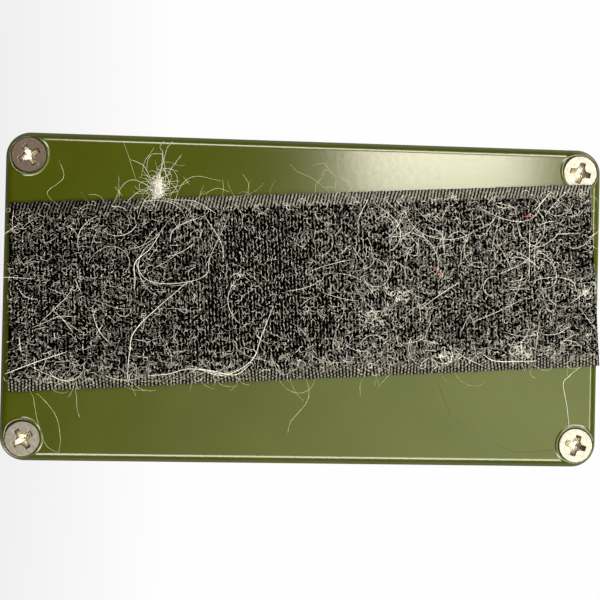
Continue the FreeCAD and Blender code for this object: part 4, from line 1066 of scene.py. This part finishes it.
HAIRS_OVER_PAINT = [
    [(27.3, -50.1), (23.8, -49.2), (20.7, -52.3), (17.8, -49.3)],
    [(23.9, -34.8), (26.4, -35.7), (29.0, -36.6), (31.6, -37.6)],
    [(22.3, -38.9), (21.0, -37.9), (20.3, -37.2)],
    [(30.5, -31.3), (29.2, -32.1), (27.5, -33.2), (24.4, -33.8)],
    [(24.7, -25.4), (24.1, -24.8), (23.2, -24.2)],
    [(23.1, -21.3), (21.7, -21.8), (20.4, -21.9)],
    [(21.9, -16.1), (22.6, -18.6), (21.1, -21.3)],
    [(24.6, -17.5), (22.7, -17.3), (20.6, -17.4)],
    [(25.7, -13.5), (23.8, -12.3), (21.4, -12.2)],
    [(-18.6, -54.3), (-24.6, -53.2), (-29.5, -51.4), (-31.2, -48.9)],
    [(-19.2, -53.2), (-23.5, -49.7), (-27.9, -48.6), (-31.1, -48.8)],
    [(-15.3, 0.2), (-17.9, 0.9), (-20.4, 0.4), (-24.2, -2.6), (-26.5, -3.2)],
]
BRIGHT_HAIRS_OVER_PAINT = [
    [(-12.1, 56.3), (-13.9, 54.8), (-15.6, 53.5), (-20.1, 54.3), (-24.7, 54.9)],
]
FINE_HAIRS_OVER_PAINT = [
    [(28.1, -4.0), (26.7, -2.7), (25.9, -0.9), (25.1, 0.9), (24.5, 1.8), (23.6, 2.8), (22.8, 3.6),
     (22.0, 4.1)],
    [(27.8, 0.5), (28.2, 1.9), (28.3, 2.9), (27.5, 3.7), (26.3, 4.8), (25.6, 6.2), (25.0, 7.4), (24.2, 8.5)],
    [(21.6, 0.9), (22.6, 1.3), (23.6, 1.3), (24.6, 1.9), (25.4, 2.6), (26.7, 2.9), (26.9, 3.5), (26.4, 4.6)],
    [(22.1, 5.3), (23.7, 5.3), (24.9, 5.5), (25.9, 5.4)],
    [(23.3, 3.2), (23.5, 3.8), (23.5, 4.4), (23.1, 5.0)],
]
BROWN_HAIRS = [
    [(-15.8, 27.4), (-18.3, 28.3), (-21.3, 29.6), (-23.4, 31.1), (-26.2, 36.2), (-29.8, 43.6), (-29.3, 52.0)],
]
HAIRS_OVER_HOOKS = [
    [(3.7, -23.8), (-5.6, -33.5), (-10.6, -35.0), (-15.8, -35.4)],
    [(-15.4, -59.2), (-12.9, -53.1), (-10.9, -47.5)],
    [(-15.3, -31.4), (-14.8, -27.0), (-13.8, -23.6), (-14.1, -18.6), (-14.8, -14.1), (-12.8, -11.2)],
    [(-1.1, -6.8), (-6.7, -8.9), (-11.8, -10.8), (-14.9, -16.1), (-13.9, -21.1)],
    [(13.0, -29.6), (9.9, -31.5), (7.1, -34.4), (3.7, -34.3), (1.7, -34.4)],
    [(-8.2, -56.7), (-9.7, -56.4), (-11.1, -56.2)],
    [(19.9, 46.2), (21.5, 47.6), (23.5, 49.2)],
    [(-9.7, 36.0), (-11.1, 38.9), (-10.9, 47.2)],
]
FINE_HAIRS_OVER_HOOKS = [
    [(7.6, -34.2), (5.2, -33.4), (3.5, -31.4), (3.1, -27.4), (3.9, -22.5), (5.5, -20.0), (8.5, -19.6),
     (16.1, -16.3)],
    [(11.3, -27.6), (13.6, -27.1), (15.3, -24.7), (16.4, -21.8)],
    [(-2.0, -41.8), (-3.9, -42.2), (-6.9, -40.9), (-9.3, -38.7)],
    [(16.8, 47.3), (17.5, 48.9), (17.7, 50.4)],
    [(16.3, 45.2), (11.2, 45.1), (5.6, 45.3)],
    [(6.7, 39.2), (8.6, 43.3), (10.1, 45.3)],
    [(-1.0, 22.9), (1.0, 25.4), (3.6, 29.0), (4.7, 31.0)],
    [(6.2, 52.2), (5.3, 54.3), (3.2, 55.4)],
    [(15.7, 24.1), (14.7, 26.7), (12.2, 27.5), (10.2, 27.7)],
    [(9.8, 31.7), (10.4, 32.5), (10.9, 33.4)],
]


def through(points, steps):
    """A smooth path through a few points, at equal shares of its spans."""
    points = np.array(points, float)
    points = np.concatenate([2 * points[:1] - points[1:2], points, 2 * points[-1:] - points[-2:-1]])
    share = np.linspace(0, len(points) - 3, steps)
    span = np.minimum(share.astype(int), len(points) - 4)
    t = (share - span)[:, None]
    p0, p1, p2, p3 = (points[span + k] for k in range(4))
    square = (2 * p0 - 5 * p1 + 4 * p2 - p3) * t**2
    cube = (3 * p1 - p0 - 3 * p2 + p3) * t**3
    return 0.5 * (2 * p1 + (p2 - p0) * t + square + cube)


def single_hairs(name, routes, thickness, material, seed):
    """The long hairs that were placed one by one."""
    rng = np.random.default_rng(seed)
    flat = np.stack([through(route, 48) for route in routes])
    count = len(routes)
    lay_fibres(name, rng, flat, np.full(count, thickness), np.full(count, 0.28), material, sides=6,
               tint=rng.uniform(0.35, 0.8, count))


single_hairs("hairs_from_tuft", HAIRS_FROM_TUFT, 0.02, PALE_HAIR, 44)
single_hairs("long_hairs_over_paint", HAIRS_OVER_PAINT, 0.02, HAIR_WITH_PAINTED_GREEN_BOUNCE, 43)
single_hairs("bright_hair_over_paint", BRIGHT_HAIRS_OVER_PAINT, 0.036, PALE_HAIR, 54)
single_hairs("fine_hairs_over_paint", FINE_HAIRS_OVER_PAINT, 0.015, HAIR_WITH_PAINTED_GREEN_BOUNCE, 49)
single_hairs("long_hair_brown", BROWN_HAIRS, 0.03, BROWN_HAIR, 53)
single_hairs("long_hairs_over_hooks", HAIRS_OVER_HOOKS, 0.048, PALE_HAIR, 47)
single_hairs("fine_hairs_over_hooks", FINE_HAIRS_OVER_HOOKS, 0.036, PALE_HAIR, 48)
